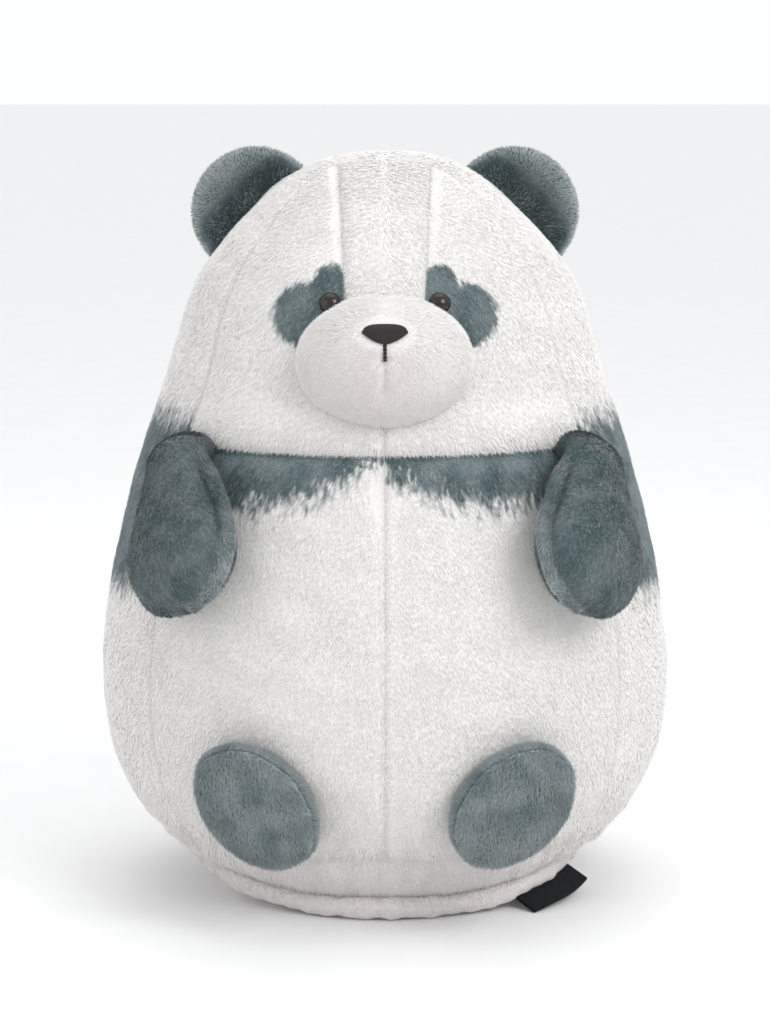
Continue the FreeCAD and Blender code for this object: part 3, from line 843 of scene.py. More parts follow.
class PileTree(GrowTree):
    """Grows pile on a patch as realized closed strands."""

    def __init__(self) -> None:
        sizes = ("Length", "Width", "Density", "Lift", "Tousle", "Curl Scale")
        kinds = {"Patch": "Geometry"} | dict.fromkeys(sizes, "Float")
        super().__init__("plush pile", "Pile", kinds | {"Seed": "Int", "Material": "Material"})
        self._build()

    def _random(self, low: object, high: object, seed: Wire, kind: str = "FLOAT") -> Wire:
        """A random value for each strand."""
        return self.tree.out("FunctionNodeRandomValue", "Value", {"data_type": kind},
                             Min=low, Max=high, Seed=seed)

    def _build(self) -> None:
        """Lay out the tree: scatter, aim, size, realize, dress."""
        t, given = self.tree, self.given
        scatter = t.node(
            "GeometryNodeDistributePointsOnFaces",
            {"distribute_method": "RANDOM"},
            Mesh=given["Patch"], Density=given["Density"], Seed=given["Seed"],
        )
        points = Wire(self.group, scatter.outputs["Points"])
        where = t.out("GeometryNodeInputPosition", "Position")
        nap = self._named(t, "nap", "FLOAT_VECTOR")
        lie = self._named(t, "lie", "FLOAT_VECTOR")
        length = self._named(t, "length", "FLOAT")

        curl = t.out(
            "ShaderNodeTexNoise", "Color", Vector=where, Scale=given["Curl Scale"], Detail=1.0
        )
        curl = t.vector("SUBTRACT", curl, (0.5, 0.5, 0.5))
        stray = self._random((-1.0, -1.0, -1.0), (1.0, 1.0, 1.0), given["Seed"], "FLOAT_VECTOR")
        wander = t.vector("SCALE", t.vector("ADD", t.vector("SCALE", curl, scale=3.4), stray),
                          scale=given["Tousle"])
        sweep = t.vector("ADD", nap, wander)
        across = t.vector("DOT_PRODUCT", sweep, lie)
        sweep = t.vector("SUBTRACT", sweep, t.vector("SCALE", lie, scale=across))
        sweep = t.vector("NORMALIZE", sweep)
        spring = self._random(0.55, 1.45, given["Seed"])
        aim = t.vector("ADD", sweep, t.vector("SCALE", lie, scale=given["Lift"] * spring))
        turn = t.out(
            "FunctionNodeAxesToRotation", "Rotation",
            {"primary_axis": "Z", "secondary_axis": "X"},
            Primary_Axis=aim, Secondary_Axis=lie,
        )
        reach = self._random(0.7, 1.25, given["Seed"] + 5.0)
        size = t.out(
            "ShaderNodeCombineXYZ", "Vector",
            X=given["Width"] * 0.55, Y=given["Width"], Z=given["Length"] * reach * length,
        )
        strand = t.out(
            "GeometryNodeMeshCone", "Mesh", {"fill_type": "NGON"},
            Vertices=3, Radius_Top=0.0, Radius_Bottom=0.62, Depth=1.0,
        )
        tone = self._random(0.0, 1.0, given["Seed"] + 9.0)
        points = self._store(t, points, "root", "FLOAT_VECTOR", "POINT", where)
        points = self._store(t, points, "tone", "FLOAT", "POINT", tone)
        tufts = t.out(
            "GeometryNodeInstanceOnPoints", "Instances",
            Points=points, Instance=strand, Rotation=turn, Scale=size,
        )
        pile = t.out("GeometryNodeRealizeInstances", "Geometry", Geometry=tufts)
        root = self._named(t, "root", "FLOAT_VECTOR")
        place = t.out("GeometryNodeInputPosition", "Position")
        reachout = t.vector("SUBTRACT", place, root)
        parts = t.node("ShaderNodeSeparateXYZ", Vector=reachout)
        px, py, pz = (Wire(self.group, s) for s in parts.outputs)
        nudge = t.out("ShaderNodeCombineXYZ", "Vector", X=(px - py) * 2.5, Y=pz * 2.5, Z=0.0)
        chart = t.vector("ADD", self._named(t, "chart", "FLOAT_VECTOR"), nudge)
        pile = self._store(t, pile, "OFBake", "FLOAT2", "CORNER", chart)
        shaped = t.out("GeometryNodeInputNormal", "Normal")
        lie_now = self._named(t, "lie", "FLOAT_VECTOR")
        soft = t.vector("ADD", t.vector("SCALE", shaped, scale=0.28), lie_now)
        pile = t.out(
            "GeometryNodeSetMeshNormal", "Mesh", {"mode": "FREE", "domain": "CORNER"},
            Mesh=pile, Custom_Normal=t.vector("NORMALIZE", soft),
        )
        pile = t.out("GeometryNodeSetMaterial", "Geometry", Geometry=pile,
                     Material=given["Material"])
        t.node("NodeGroupOutput", Pile=pile)

    @staticmethod
    def _named(t: Tree, name: str, kind: str) -> Wire:
        """Read a named attribute."""
        return t.out("GeometryNodeInputNamedAttribute", "Attribute", {"data_type": kind}, Name=name)

    @staticmethod
    def _store(t: Tree, what: Wire, name: str, kind: str, domain: str, value: Wire) -> Wire:
        """Store a named attribute and pass the geometry on."""
        settings = {"data_type": kind, "domain": domain}
        return t.out("GeometryNodeStoreNamedAttribute", "Geometry", settings,
                     Geometry=what, Name=name, Value=value)

    def grow(
        self, patch: Patch, name: str, nap: Nap, material: bpy.types.Material, seed: int
    ) -> bpy.types.Object:
        """Grow pile on a patch.

        Args:
            patch: The cloth's outer face.
            name: The piece's name.
            nap: The pile's sizes.
            material: The pile's finish.
            seed: The seed of its scatter.

        Returns:
            One plain mesh object.
        """
        carrier = patch.base(name + "_ground")
        grown = self.run(carrier, name, {
            "Length": nap.length * MM, "Width": nap.width * MM,
            "Density": nap.density / MM**2 * 1.0,
            "Lift": nap.lift, "Tousle": nap.tousle,
            "Curl Scale": 1.0 / (nap.curl_size * MM), "Seed": seed, "Material": material,
        })
        LOG.info("%s: %d triangles of pile", name, len(grown.data.polygons))
        return grown


class ThreadTree(GrowTree):
    """Turns polylines into round thread."""

    def __init__(self) -> None:
        super().__init__("thread", "Thread", {
            "Lines": "Geometry", "Radius": "Float", "Sides": "Int", "Material": "Material",
        })
        t, given = self.tree, self.given
        lines = t.out("GeometryNodeMeshToCurve", "Curve", Mesh=given["Lines"])
        ring = t.out(
            "GeometryNodeCurvePrimitiveCircle", "Curve",
            Resolution=given["Sides"], Radius=given["Radius"],
        )
        tube = t.out(
            "GeometryNodeCurveToMesh", "Mesh", Curve=lines, Profile_Curve=ring, Fill_Caps=True
        )
        tube = t.out("GeometryNodeSetShadeSmooth", "Geometry", Geometry=tube)
        tube = t.out("GeometryNodeRealizeInstances", "Geometry", Geometry=tube)
        tube = t.out("GeometryNodeSetMaterial", "Geometry", Geometry=tube,
                     Material=given["Material"])
        t.node("NodeGroupOutput", Thread=tube)

    def lay(
        self, name: str, lines: Sequence[Array], radius: float, material: bpy.types.Material
    ) -> bpy.types.Object:
        """Turn lines of points into one mesh of thread.

        Args:
            name: The piece's name.
            lines: The points of each line, in millimetres.
            radius: The thread's radius.
            material: Its finish.

        Returns:
            One plain mesh object.
        """
        mesh = bpy.data.meshes.new(name + "_lines")
        points = np.vstack(lines) * MM
        edges, start = [], 0
        for one in lines:
            edges += [(i, i + 1) for i in range(start, start + len(one) - 1)]
            start += len(one)
        mesh.from_pydata(points.tolist(), edges, [])
        carrier = bpy.data.objects.new(name + "_lines", mesh)
        bpy.context.scene.collection.objects.link(carrier)
        return self.run(carrier, name, {"Radius": radius * MM, "Sides": 6, "Material": material})


# ------------------------------------------------------------------ stuffing pressure
@dataclass(frozen=True)
class Inflation:
    """Cloth simulation that lets the filling round a cover out between its held seams."""

    pressure: float = 4.0
    frames: int = 20
    cap: float = 2.5

    def moves(self, name: str, points: Array, faces: Faces, held: Array) -> Array:
        """How far each point of a closed cover moves, at most cap millimetres.

        Args:
            name: A name for the trial cover.
            points: The cover's points.
            faces: Its faces, which close it.
            held: A weight for each point, 1 where a seam holds it.

        Returns:
            One vector for each point, in millimetres.
        """
        obj = mesh_object(name + "_trial", points, faces)
        group = obj.vertex_groups.new(name="held")
        for index in np.flatnonzero(held > 0.01):
            group.add([int(index)], float(held[index]), "REPLACE")
        cloth = obj.modifiers.new("cloth", "CLOTH")
        cloth.settings.vertex_group_mass = "held"
        cloth.settings.use_pressure = True
        cloth.settings.uniform_pressure_force = self.pressure
        cloth.settings.effector_weights.gravity = 0.0
        scene = bpy.context.scene
        for frame in range(1, self.frames + 1):
            scene.frame_set(frame)
        graph = bpy.context.evaluated_depsgraph_get()
        mesh = obj.evaluated_get(graph).data
        moved = np.zeros(len(mesh.vertices) * 3, np.float32)
        mesh.vertices.foreach_get("co", moved)
        step = moved.reshape(-1, 3) / MM - points
        far = np.linalg.norm(step, axis=1, keepdims=True)
        step = np.where(np.isfinite(step), step, 0.0) * np.minimum(1.0, self.cap / np.maximum(far, 1e-6))
        trial = obj.data
        bpy.data.objects.remove(obj)
        bpy.data.meshes.remove(trial)
        scene.frame_set(1)
        LOG.info("%s: simulated, moves up to %.1f mm", name, np.linalg.norm(step, axis=1).max())
        return step


# ------------------------------------------------------------------ workshop
@dataclass
class Workshop:
    """What every sub-assembly needs: the frame, the trees and the finishes."""

    frame: Frame
    pile: PileTree
    thread: ThreadTree
    finishes: dict[str, bpy.types.Material]

    def sew(
        self,
        obj: bpy.types.Object,
        body: str,
        slot: str,
        nodes: Sequence[str] = (),
        fill: float | None = None,
        root: tuple[Array, Array] | None = None,
    ) -> bpy.types.Object:
        """Hide the CAD nodes that a finished piece stands for, and parent the piece to its CAD body when
        no root is given.

        Args:
            obj: The piece.
            body: The CAD body it rides on.
            slot: Not used.
            nodes: CAD nodes that it stands for.
            fill: Not used.
            root: Two points where it meets the torso; when given, the piece's transform is applied to its
                mesh and it is not parented to its body.

        Returns:
            The piece.
        """
        if nodes:
            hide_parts(*nodes)
        if root is None:
            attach(obj, body)
        else:
            start, end = (tuple(p * MM) for p in root)
            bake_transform(obj)
        LOG.info("%s rides on %s", obj.name, body)
        return obj

    def dress(
        self, patch: Patch, node: str, dye: str, body: str, thick: float, fill: float, nap: Nap,
        seed: int, root: tuple[Array, Array] | None = None, pile: str | None = None,
    ) -> None:
        """Sew one panel's cloth, then the pile that stands on it.

        Args:
            patch: The panel's outer face.
            node: The CAD node that it stands for.
            dye: Which pair of plush finishes it has: white, slate or muzzle.
            body: The CAD body it rides on.
            thick: The cloth's thickness.
            fill: How tightly it is stuffed.
            nap: The pile's sizes.
            seed: The seed of the pile's scatter.
            root: Two points where it meets the torso, passed on to sew.
            pile: The pile's name, if it isn't made from the node's.
        """
        slot = "slate_plush" if dye == "slate" else "white_plush"
        cloth = patch.cloth(node, thick, self.finishes[dye + " cloth"])
        self.sew(cloth, body, slot, [node], fill, root)
        fur = self.pile.grow(patch, pile or node + "_pile", nap, self.finishes[dye + " pile"], seed)
        self.sew(fur, body, slot, root=root)

    def stuff(
        self, part: str, body: str, points: Array, faces: Faces, fill: float,
        root: tuple[Array, Array] | None = None,
    ) -> None:
        """Put fibre in a cover.

        Args:
            part: What is filled.
            body: The CAD body it rides on.
            points: The filling's points.
            faces: Its faces.
            fill: How tightly it is stuffed.
            root: Two points where it meets the torso, passed on to sew.
        """
        core = mesh_object(part + "_filling", points, faces)
        core.data.materials.append(self.finishes["fibre"])
        self.sew(core, body, "stuffing", [part + "_stuffing"], fill, root)


# ------------------------------------------------------------------ head and body
@dataclass
class EggSkin:
    """The outer skin of head and body, as in the CAD: a round egg flattened front to back."""

    half_width: float
    crown: float
    foot: float
    depth_share: float
    forward: float
    rows: int = 150

    def __post_init__(self) -> None:
        """Sample the outline from the crown to the belly seam."""
        shares = [
            (0.0, 1.0), (0.265, 0.978), (0.47, 0.918), (0.652, 0.83), (0.765, 0.7),
            (0.874, 0.572), (0.972, 0.406), (1.0, 0.284), (0.961, 0.18),
            (0.85, self.foot / self.crown),
        ]
        knots = [(r * self.half_width, z * self.crown) for r, z in shares]
        self.line = spline_through(knots, self.rows)
        along = unit(np.gradient(self.line, axis=0))
        self.outward = np.stack([-along[:, 1], along[:, 0]], axis=1)

    def radius(self, height: Array | float) -> Array:
        """The round egg's radius at a height."""
        return np.interp(height, self.line[::-1, 1], self.line[::-1, 0])

    def at(self, azimuth: Array, height: Array) -> tuple[Array, Array]:
        """Points of the skin and its normals, from degrees off the front and a height."""
        turn = np.radians(azimuth)
        r = self.radius(height)
        n_r = np.interp(height, self.line[::-1, 1], self.outward[::-1, 0])
        n_z = np.interp(height, self.line[::-1, 1], self.outward[::-1, 1])
        return self._spun(turn, r, height, n_r, n_z)

    def _spun(self, turn: Array, r: Array, z: Array, n_r: Array, n_z: Array) -> tuple[Array, Array]:
        """Spin outline points to an angle and flatten them."""
        s, c = np.sin(turn), -np.cos(turn)
        points = np.stack(np.broadcast_arrays(r * s, r * c * self.depth_share - self.forward, z), -1)
        normals = np.stack(np.broadcast_arrays(n_r * s, n_r * c / self.depth_share, n_z), -1)
        return points, unit(normals)

    def azimuth(self, points: Array) -> Array:
        """Degrees off the front of points near the skin, towards +X."""
        y = -(points[:, 1] + self.forward) / self.depth_share
        return np.degrees(np.arctan2(points[:, 0], y))

    def sheet(self, columns: int = 240) -> tuple[Array, Faces, Array]:
        """The whole skin as one mesh with a pole at the crown.

        Args:
            columns: How many points go round it.

        Returns:
            Points, faces and normals.
        """
        turn = np.linspace(0, 2 * math.pi, columns, endpoint=False)
        r, z = self.line[1:, 0][:, None], self.line[1:, 1][:, None]
        n = self.outward[1:]
        points, normals = self._spun(turn[None, :], r, z, n[:, :1], n[:, 1:])
        points, normals = points.reshape(-1, 3), normals.reshape(-1, 3)
        top = np.array([[0.0, -self.forward, self.crown]])
        faces = grid_faces(len(r), columns, around=True)
        pole = len(points)
        faces += [(pole, c, (c + 1) % columns) for c in range(columns)]
        points = np.vstack([points, top])
        normals = np.vstack([normals, [[0.0, 0.0, 1.0]]])
        return points, faces, normals


@dataclass
class Torso:
    """Head and body: eight cloth panels sewn into one egg, with its filling."""

    shop: Workshop
    cloth: float = 1.5
    neck: float = 179.0
    side_seam: float = 54.0
    gusset_top: float = 18.0
    gusset_foot: float = 14.5
    gusset_low: float = 231.0
    groove: float = 1.25
    groove_width: float = 2.2
    nap: Nap = Nap(length=2.2, width=0.5, density=1.55, lift=0.26, tousle=0.2, curl_size=11.0)

    def __post_init__(self) -> None:
        """Read the egg's size from the frame."""
        low, high = self.shop.frame.box("left_back_panel")
        front, _ = self.shop.frame.box("left_belly_panel")
        half_width = high[0]
        depth = (high[1] - front[1]) / 2
        self.skin = EggSkin(
            half_width=half_width,
            crown=high[2],
            foot=low[2],
            depth_share=depth / half_width,
            forward=-(high[1] + front[1]) / 2,
        )

    def gusset_half(self, z: Array) -> Array:
        """Half the forehead gusset's width at a height."""
        rise = (z - self.gusset_low) / (self.skin.crown + 1 - self.gusset_low)
        return self.gusset_foot + (self.gusset_top - self.gusset_foot) * rise

    def seam_distance(self, points: Array) -> Array:
        """How far points are from the nearest seam.

        Args:
            points: Points on the skin.

        Returns:
            The distances.
        """
        x, y, z = points.T
        turn = np.abs(self.skin.azimuth(points))
        far = np.full(len(points), 99.0)
        front = turn < self.side_seam
        round_about = np.hypot(x, y + self.skin.forward)
        side = np.radians(np.abs(turn - self.side_seam)) * round_about
        neck = np.where(turn < self.side_seam + 2, np.abs(z - self.neck), far)
        gusset = np.where(front & (z > self.gusset_low - 3), np.abs(np.abs(x) - self.gusset_half(z)), far)
        chin = np.where(front & (z < self.gusset_low) & (y < 0), np.abs(x), far)
        back = np.where(y > 0, np.abs(x), far)
        return np.min([side, neck, gusset, chin, back], axis=0)

    def plumped(self, points: Array) -> Array:
        """How the filling swells the panels between their seams, from a coarse simulated egg.

        Args:
            points: Where to read the swelling.

        Returns:
            One vector for each point.
        """
        coarse = EggSkin(
            self.skin.half_width, self.skin.crown, self.skin.foot, self.skin.depth_share,
            self.skin.forward, rows=58,
        )
        columns = 104
        base, faces, _ = coarse.sheet(columns)
        near = self.seam_distance(base)
        held = np.maximum(0.9 * bell(near, 3.5), base[:, 2] < self.skin.foot + 3)
        closed, closed_faces = closed_cup(base, faces)
        held = np.append(held, 1.0)
        moves = Inflation(cap=0.9).moves("torso", closed, closed_faces, held)[:-1]
        rows = len(coarse.line) - 1
        grid = moves[:-1].reshape(rows, columns, 3)
        level = np.interp(points[:, 2], coarse.line[:0:-1, 1], np.arange(rows)[::-1])
        turn = (self.skin.azimuth(points) % 360.0) / 360.0 * columns
        r0, c0 = np.floor(level).astype(int), np.floor(turn).astype(int)
        r1, c1 = np.minimum(r0 + 1, rows - 1), (c0 + 1) % columns
        c0 = c0 % columns
        fr, fc = (level - r0)[:, None], (turn - np.floor(turn))[:, None]
        upper = grid[r0, c0] * (1 - fc) + grid[r0, c1] * fc
        lower = grid[r1, c0] * (1 - fc) + grid[r1, c1] * fc
        return upper * (1 - fr) + lower * fr

    def shaped(self, points: Array, normals: Array) -> tuple[Array, Array]:
        """Sink the seams, plump the panels and add the wrinkles of slack cloth.

        Args:
            points: The plain skin's points.
            normals: Its normals.

        Returns:
            The shaped points, and how far each is from a seam.
        """
        near = self.seam_distance(points)
        turn = self.skin.azimuth(points)
        x, y, z = points.T
        slack = 1.0 - 0.8 * (np.abs(x) < 6) * (1.0 - smooth(z, 138.0, 160.0)) * (y < 0)
        sink = slack * (self.groove * bell(near, self.groove_width) + 0.35 * bell(near, 9.0))
        lumps = 0.55 * ripple(points, 46.0, 3) + 0.3 * ripple(points, 19.0, 4)
        hem = bell(z - self.skin.foot, 11.0)
        pleats = 0.55 * hem * np.sin(np.radians(turn) * 34 + 2 * np.sin(np.radians(turn) * 9))
        tuck = 1.6 * bell(z - self.skin.foot, 2.6)
        notch = 2.2 * bell(x, 3.5) * bell(z - (self.neck - 9), 9.0) * (y < 0)
        face = 1.0 - smooth(np.abs(turn), 50.0, 58.0)
        jowl = face * (1.4 * bell(z - self.neck - 8.5, 9.0) - 1.3 * bell(z - self.neck + 1.0, 3.0))
        lift = lumps + pleats + jowl - sink - tuck - notch
        swell = (self.plumped(points) * normals).sum(1)
        return points + normals * (lift + swell)[:, None], near

    def build(self) -> None:
        """Make every panel with its pile, then the filling."""
        points, faces, _ = self.skin.sheet()
        points, faces = self.with_seams(points, faces)
        azimuth = self.skin.azimuth(points)
        _, normals = self.skin.at(azimuth, points[:, 2])
        shaped, near = self.shaped(points, normals)
        down = np.tile([0.0, 0.0, -1.0], (len(points), 1))
        down += 0.35 * np.stack([np.sign(points[:, 0]), 0 * azimuth, 0 * azimuth], axis=1)
        whole = Patch.of(
            shaped, faces, normals, laid(down, normals),
            charted(azimuth, points[:, 2]),
            length=0.7 + 0.3 * smooth(near, 0.5, 4.0),
            # Painted shade: the pile darkens a little along every seam's groove.
            tint_and_painted_light=-0.16 * bell(near, 1.3),
        )
        centres = np.array([points[list(f)].mean(axis=0) for f in faces])
        kinds = self.sorted_panels(centres)
        cloth = self.shop.finishes["torso cloth"]
        pile = self.shop.finishes["torso pile"]
        for seed, name in enumerate(sorted(set(kinds))):
            patch = whole.part(kinds == name)
            patch.chart = charted(patch.chart[:, 0], patch.chart[:, 1])
            sheet = patch.cloth(name, self.cloth, cloth)
            self.shop.sew(sheet, "body", "white_plush", [name], fill=0.9)
            for layer, band in enumerate(self.split_for_pile(patch)):
                fur = self.shop.pile.grow(
                    band, f"{name}_pile_{layer + 1}", self.nap, pile, 10 * seed + layer
                )
                self.shop.sew(fur, "body", "white_plush")
        self.filling()

    def split_for_pile(self, patch: Patch) -> list[Patch]:
        """Cut a big panel into level bands, so that no piece of pile gets too heavy."""
        z = np.array([patch.points[list(f)].mean(axis=0)[2] for f in patch.faces])
        area = (patch.points[:, 2].max() - patch.points[:, 2].min()) * np.ptp(patch.points[:, 0])
        bands = 1 + int(area > 12000) + int(area > 20000)
        if bands == 1:
            return [patch]
        cuts = np.quantile(z, np.linspace(0, 1, bands + 1))
        cuts[0], cuts[-1] = -1.0, 999.0
        return [patch.part((z > a) & (z <= b)) for a, b in zip(cuts, cuts[1:])]

    def with_seams(self, points: Array, faces: Faces) -> tuple[Array, Faces]:
        """Cut the mesh along every seam's plane, so that panels end exactly there.

        Args:
            points: The skin's points.
            faces: Its faces.

        Returns:
            The cut points and faces.
        """
        bm = bmesh.new()
        verts = [bm.verts.new(p) for p in points]
        for f in faces:
            bm.faces.new([verts[i] for i in f])
        slant = (self.gusset_top - self.gusset_foot) / (self.skin.crown + 1 - self.gusset_low)
        side = math.radians(self.side_seam)
        centre = (0.0, -self.skin.forward, 0.0)
        planes = [((0, 0, self.neck), (0, 0, 1)), ((0, 0, self.gusset_low), (0, 0, 1)),
                  (centre, (1, 0, 0))]
        for sign in (-1.0, 1.0):
            foot = (sign * self.gusset_foot, 0.0, self.gusset_low)
            planes.append((foot, (1.0, 0.0, -sign * slant)))
            planes.append((centre, (math.cos(side), sign * math.sin(side) / self.skin.depth_share, 0)))
        for spot, normal in planes:
            parts = bm.verts[:] + bm.edges[:] + bm.faces[:]
            bmesh.ops.bisect_plane(bm, geom=parts, dist=1e-4, plane_co=spot, plane_no=normal)
        bm.verts.index_update()
        new_points = np.array([v.co for v in bm.verts])
        new_faces = [tuple(v.index for v in f.verts) for f in bm.faces]
        bm.free()
        return new_points, new_faces

    def sorted_panels(self, centres: Array) -> Array:
        """The panel that each face belongs to."""
        x, _, z = centres.T
        front = np.abs(self.skin.azimuth(centres)) < self.side_seam
        left = x > 0
        kinds = np.where(left, "left_back_panel", "right_back_panel")
        belly = np.where(left, "left_belly_panel", "right_belly_panel")
        cheek = np.where(left, "left_cheek_panel", "right_cheek_panel")
        kinds = np.where(front & (z < self.neck), belly, kinds)
        kinds = np.where(front & (z >= self.neck), cheek, kinds)
        gusset = front & (z > self.gusset_low) & (np.abs(x) < self.gusset_half(z))
        return np.where(gusset, "forehead_gusset", kinds)

    def filling(self) -> None:
        """Lumpy fibre inside the covers."""
        points, faces, normals = self.skin.sheet(columns=96)
        points = points - normals * (5.0 + 0.6 * ripple(points, 24.0, 8))[:, None]
        low = points[:, 2].min()
        last = len(points) - 1
        ring = list(range(last - 96, last))
        centre = len(points)
        points = np.vstack([points, [[0.0, -self.skin.forward, low - 8.0]]])
        faces = faces + [(centre, b, a) for a, b in zip(ring, ring[1:] + ring[:1])]
        self.shop.stuff("body", "body", points, faces, 0.85)


@dataclass
class Base:
    """The band below the belly, the slack rolled rim and the flat panel underneath."""

    shop: Workshop
    skin: EggSkin
    side_lift: float = 8.0
    columns: int = 220
    nap: Nap = Nap(length=2.2, width=0.4, density=1.8, lift=0.4, tousle=0.4)

    def ring(self, radius: Array, height: Array, columns: int) -> tuple[Array, Array]:
        """Sweep a profile round the flattened base and return points and turns."""
        turn = np.linspace(0, 2 * math.pi, columns, endpoint=False)[None, :]
        r, z = radius[:, None], height[:, None]
        x = r * np.sin(turn)
        y = -r * np.cos(turn) * self.skin.depth_share - self.skin.forward
        points = np.stack(np.broadcast_arrays(x, y, z), -1).reshape(-1, 3)
        return points, np.broadcast_to(turn, x.shape).ravel()

    def lift(self, turn: Array) -> Array:
        """How far the slack rim stands off the floor: it curls up at the sides."""
        off = np.abs(np.degrees((turn + math.pi) % (2 * math.pi) - math.pi))
        return self.side_lift * smooth(off, 15.0, 85.0) * (1.0 - 0.4 * smooth(off, 120.0, 180.0))

    def build(self) -> None:
        """Make the three parts of the base."""
        self.band()
        self.rim()
        self.panel()

    def band(self) -> None:
        """The convex strip from the belly seam down to the crease."""
        _, high = self.shop.frame.box("base_rim")
        top_r = float(self.skin.radius(self.skin.foot)) - 3.6
        low_r, low_z = high[0] - 1.6, high[2] - 0.6
        v = np.linspace(0, 1, 16)
        radius = top_r + (low_r - top_r) * v + 2.4 * np.sin(math.pi * v)
        top_z = self.skin.foot + 2.0
        height = top_z + (low_z - top_z) * v - 1.0 * np.sin(math.pi * v)
        points, turn = self.ring(radius, height, self.columns)
        along = np.stack([np.gradient(radius), np.gradient(height)], axis=1)
        out = unit(np.stack([-along[:, 1], along[:, 0]], axis=1))
        n_r, n_z = np.repeat(out[:, 0], self.columns), np.repeat(out[:, 1], self.columns)
        normals = unit(np.stack(
            [n_r * np.sin(turn), -n_r * np.cos(turn) / self.skin.depth_share, n_z], axis=1
        ))
        share = np.repeat(v, self.columns)
        pucker = 0.5 * np.sin(turn * 41 + 2 * np.sin(turn * 7)) * np.sin(math.pi * share)
        sag = 0.8 * ripple(points, 30.0, 21) * np.sin(math.pi * share)
        points = points + normals * (pucker + sag)[:, None]
        points[:, 2] += self.lift(turn) * smooth(share, 0.2, 1.0)
        down = np.tile([0.0, 0.0, -1.0], (len(points), 1))
        # Painted shade: the band's pile darkens towards its bottom, in the crease above the rim.
        patch = Patch.of(points, grid_faces(16, self.columns, True), normals,
                         laid(down, normals), charted(turn, share),
                         tint_and_painted_light=-0.35 * smooth(share, 0.82, 0.97))
        self.shop.dress(patch, "base_band", "white", "body", 1.4, 0.6, self.nap, 301)

    def rim(self) -> None:
        """The slack hem, rolled into an uneven soft ring."""
        low, high = self.shop.frame.box("base_rim")
        tube = (high[2] - low[2]) / 2
        centre_r, centre_z = high[0] - tube, low[2] + tube
        around = 20
        phi = np.linspace(0, 2 * math.pi, around, endpoint=False)
        turn = np.linspace(0, 2 * math.pi, self.columns, endpoint=False)
        grid_turn, grid_phi = np.meshgrid(turn, phi, indexing="ij")
        grid_turn, grid_phi = grid_turn.ravel(), grid_phi.ravel()
        swell = 1 + 0.07 * np.sin(grid_turn * 23 + 3 * np.sin(grid_turn * 5))
        swell = swell + 0.05 * np.sin(grid_turn * 57)
        wander = 0.9 * np.sin(3 * grid_turn + 1.0) + 0.7 * np.sin(8 * grid_turn + 2.0)
        by_label = bell(grid_turn - math.radians(55.0), 0.3)
        wander = wander * (1.0 - by_label)
        r = centre_r - 0.8 + wander + tube * swell * np.cos(grid_phi)
        z = np.maximum(centre_z + tube * swell * np.sin(grid_phi), 0.25) + self.lift(grid_turn)
        share = self.skin.depth_share
        points = np.stack(
            [r * np.sin(grid_turn), -r * np.cos(grid_turn) * share - self.skin.forward, z], axis=1
        )
        normals = np.stack(
            [np.cos(grid_phi) * np.sin(grid_turn), -np.cos(grid_phi) * np.cos(grid_turn),
             np.sin(grid_phi)], axis=1,
        )
        faces = []
        for i in range(self.columns):
            j = (i + 1) % self.columns
            for k in range(around):
                m = (k + 1) % around
                faces.append((i * around + k, j * around + k, j * around + m, i * around + m))
        out = np.stack([np.sin(grid_turn), -np.cos(grid_turn), 0 * grid_turn], axis=1)
        down = np.tile([0.0, 0.0, -1.0], (len(points), 1)) + 0.3 * out
        # Painted shade: the rim's pile darkens on its top inner side, under the band.
        patch = Patch.of(points, faces, normals, laid(down, normals),
                         charted(grid_turn, grid_phi), length=0.8 - 0.5 * by_label,
                         tint_and_painted_light=-0.3 * bell(grid_phi - 1.9, 0.45))
        ring = mesh_object("base_rim", points, faces)
        store_chart(ring, patch.chart)
        ring.data.materials.append(self.shop.finishes["white cloth"])
        self.shop.sew(ring, "body", "white_plush", ["base_rim"], fill=0.5)
        centres = np.array([points[list(f)].mean(axis=0) for f in faces])
        turns = np.array([grid_turn[f[0]] for f in faces])
        upper = patch.part(centres[:, 2] > 2.2 + self.lift(turns))
        fur = self.shop.pile.grow(upper, "base_rim_pile", Nap(length=2.0, density=1.3),
                                  self.shop.finishes["white pile"], 307)
        self.shop.sew(fur, "body", "white_plush")

    def panel(self) -> None:
        """The flat oval that the panda sits on, with a slightly raised middle."""
        _, high = self.shop.frame.box("base_panel")
        radius = np.array([high[0] * s for s in (1.07, 1.0, 0.93, 0.85, 0.7, 0.4, 0.12)])
        height = np.array([2.6, 0.9, 0.12, 0.0, 0.15, 0.3, 0.35])
        points, turn = self.ring(radius, height, 96)
        points[:, 2] += self.lift(turn) * np.repeat([1.0, 0.55, 0.15, 0.0, 0.0, 0.0, 0.0], 96)
        faces = grid_faces(len(radius), 96, True)
        centre = len(points)
        points = np.vstack([points, [[0.0, -self.skin.forward, 0.35]]])
        first = (len(radius) - 1) * 96
        faces += [(first + c, centre, first + (c + 1) % 96) for c in range(96)]
        normals = np.tile([0.0, 0.0, -1.0], (len(points), 1))
        flow = np.tile([0.0, -1.0, 0.0], (len(points), 1))
        patch = Patch.of(points, faces, normals, flow, charted(points[:, 0], points[:, 1]))
        sheet = patch.cloth("base_panel", 1.5, self.shop.finishes["white cloth"])
        self.shop.sew(sheet, "body", "white_plush", ["base_panel"])


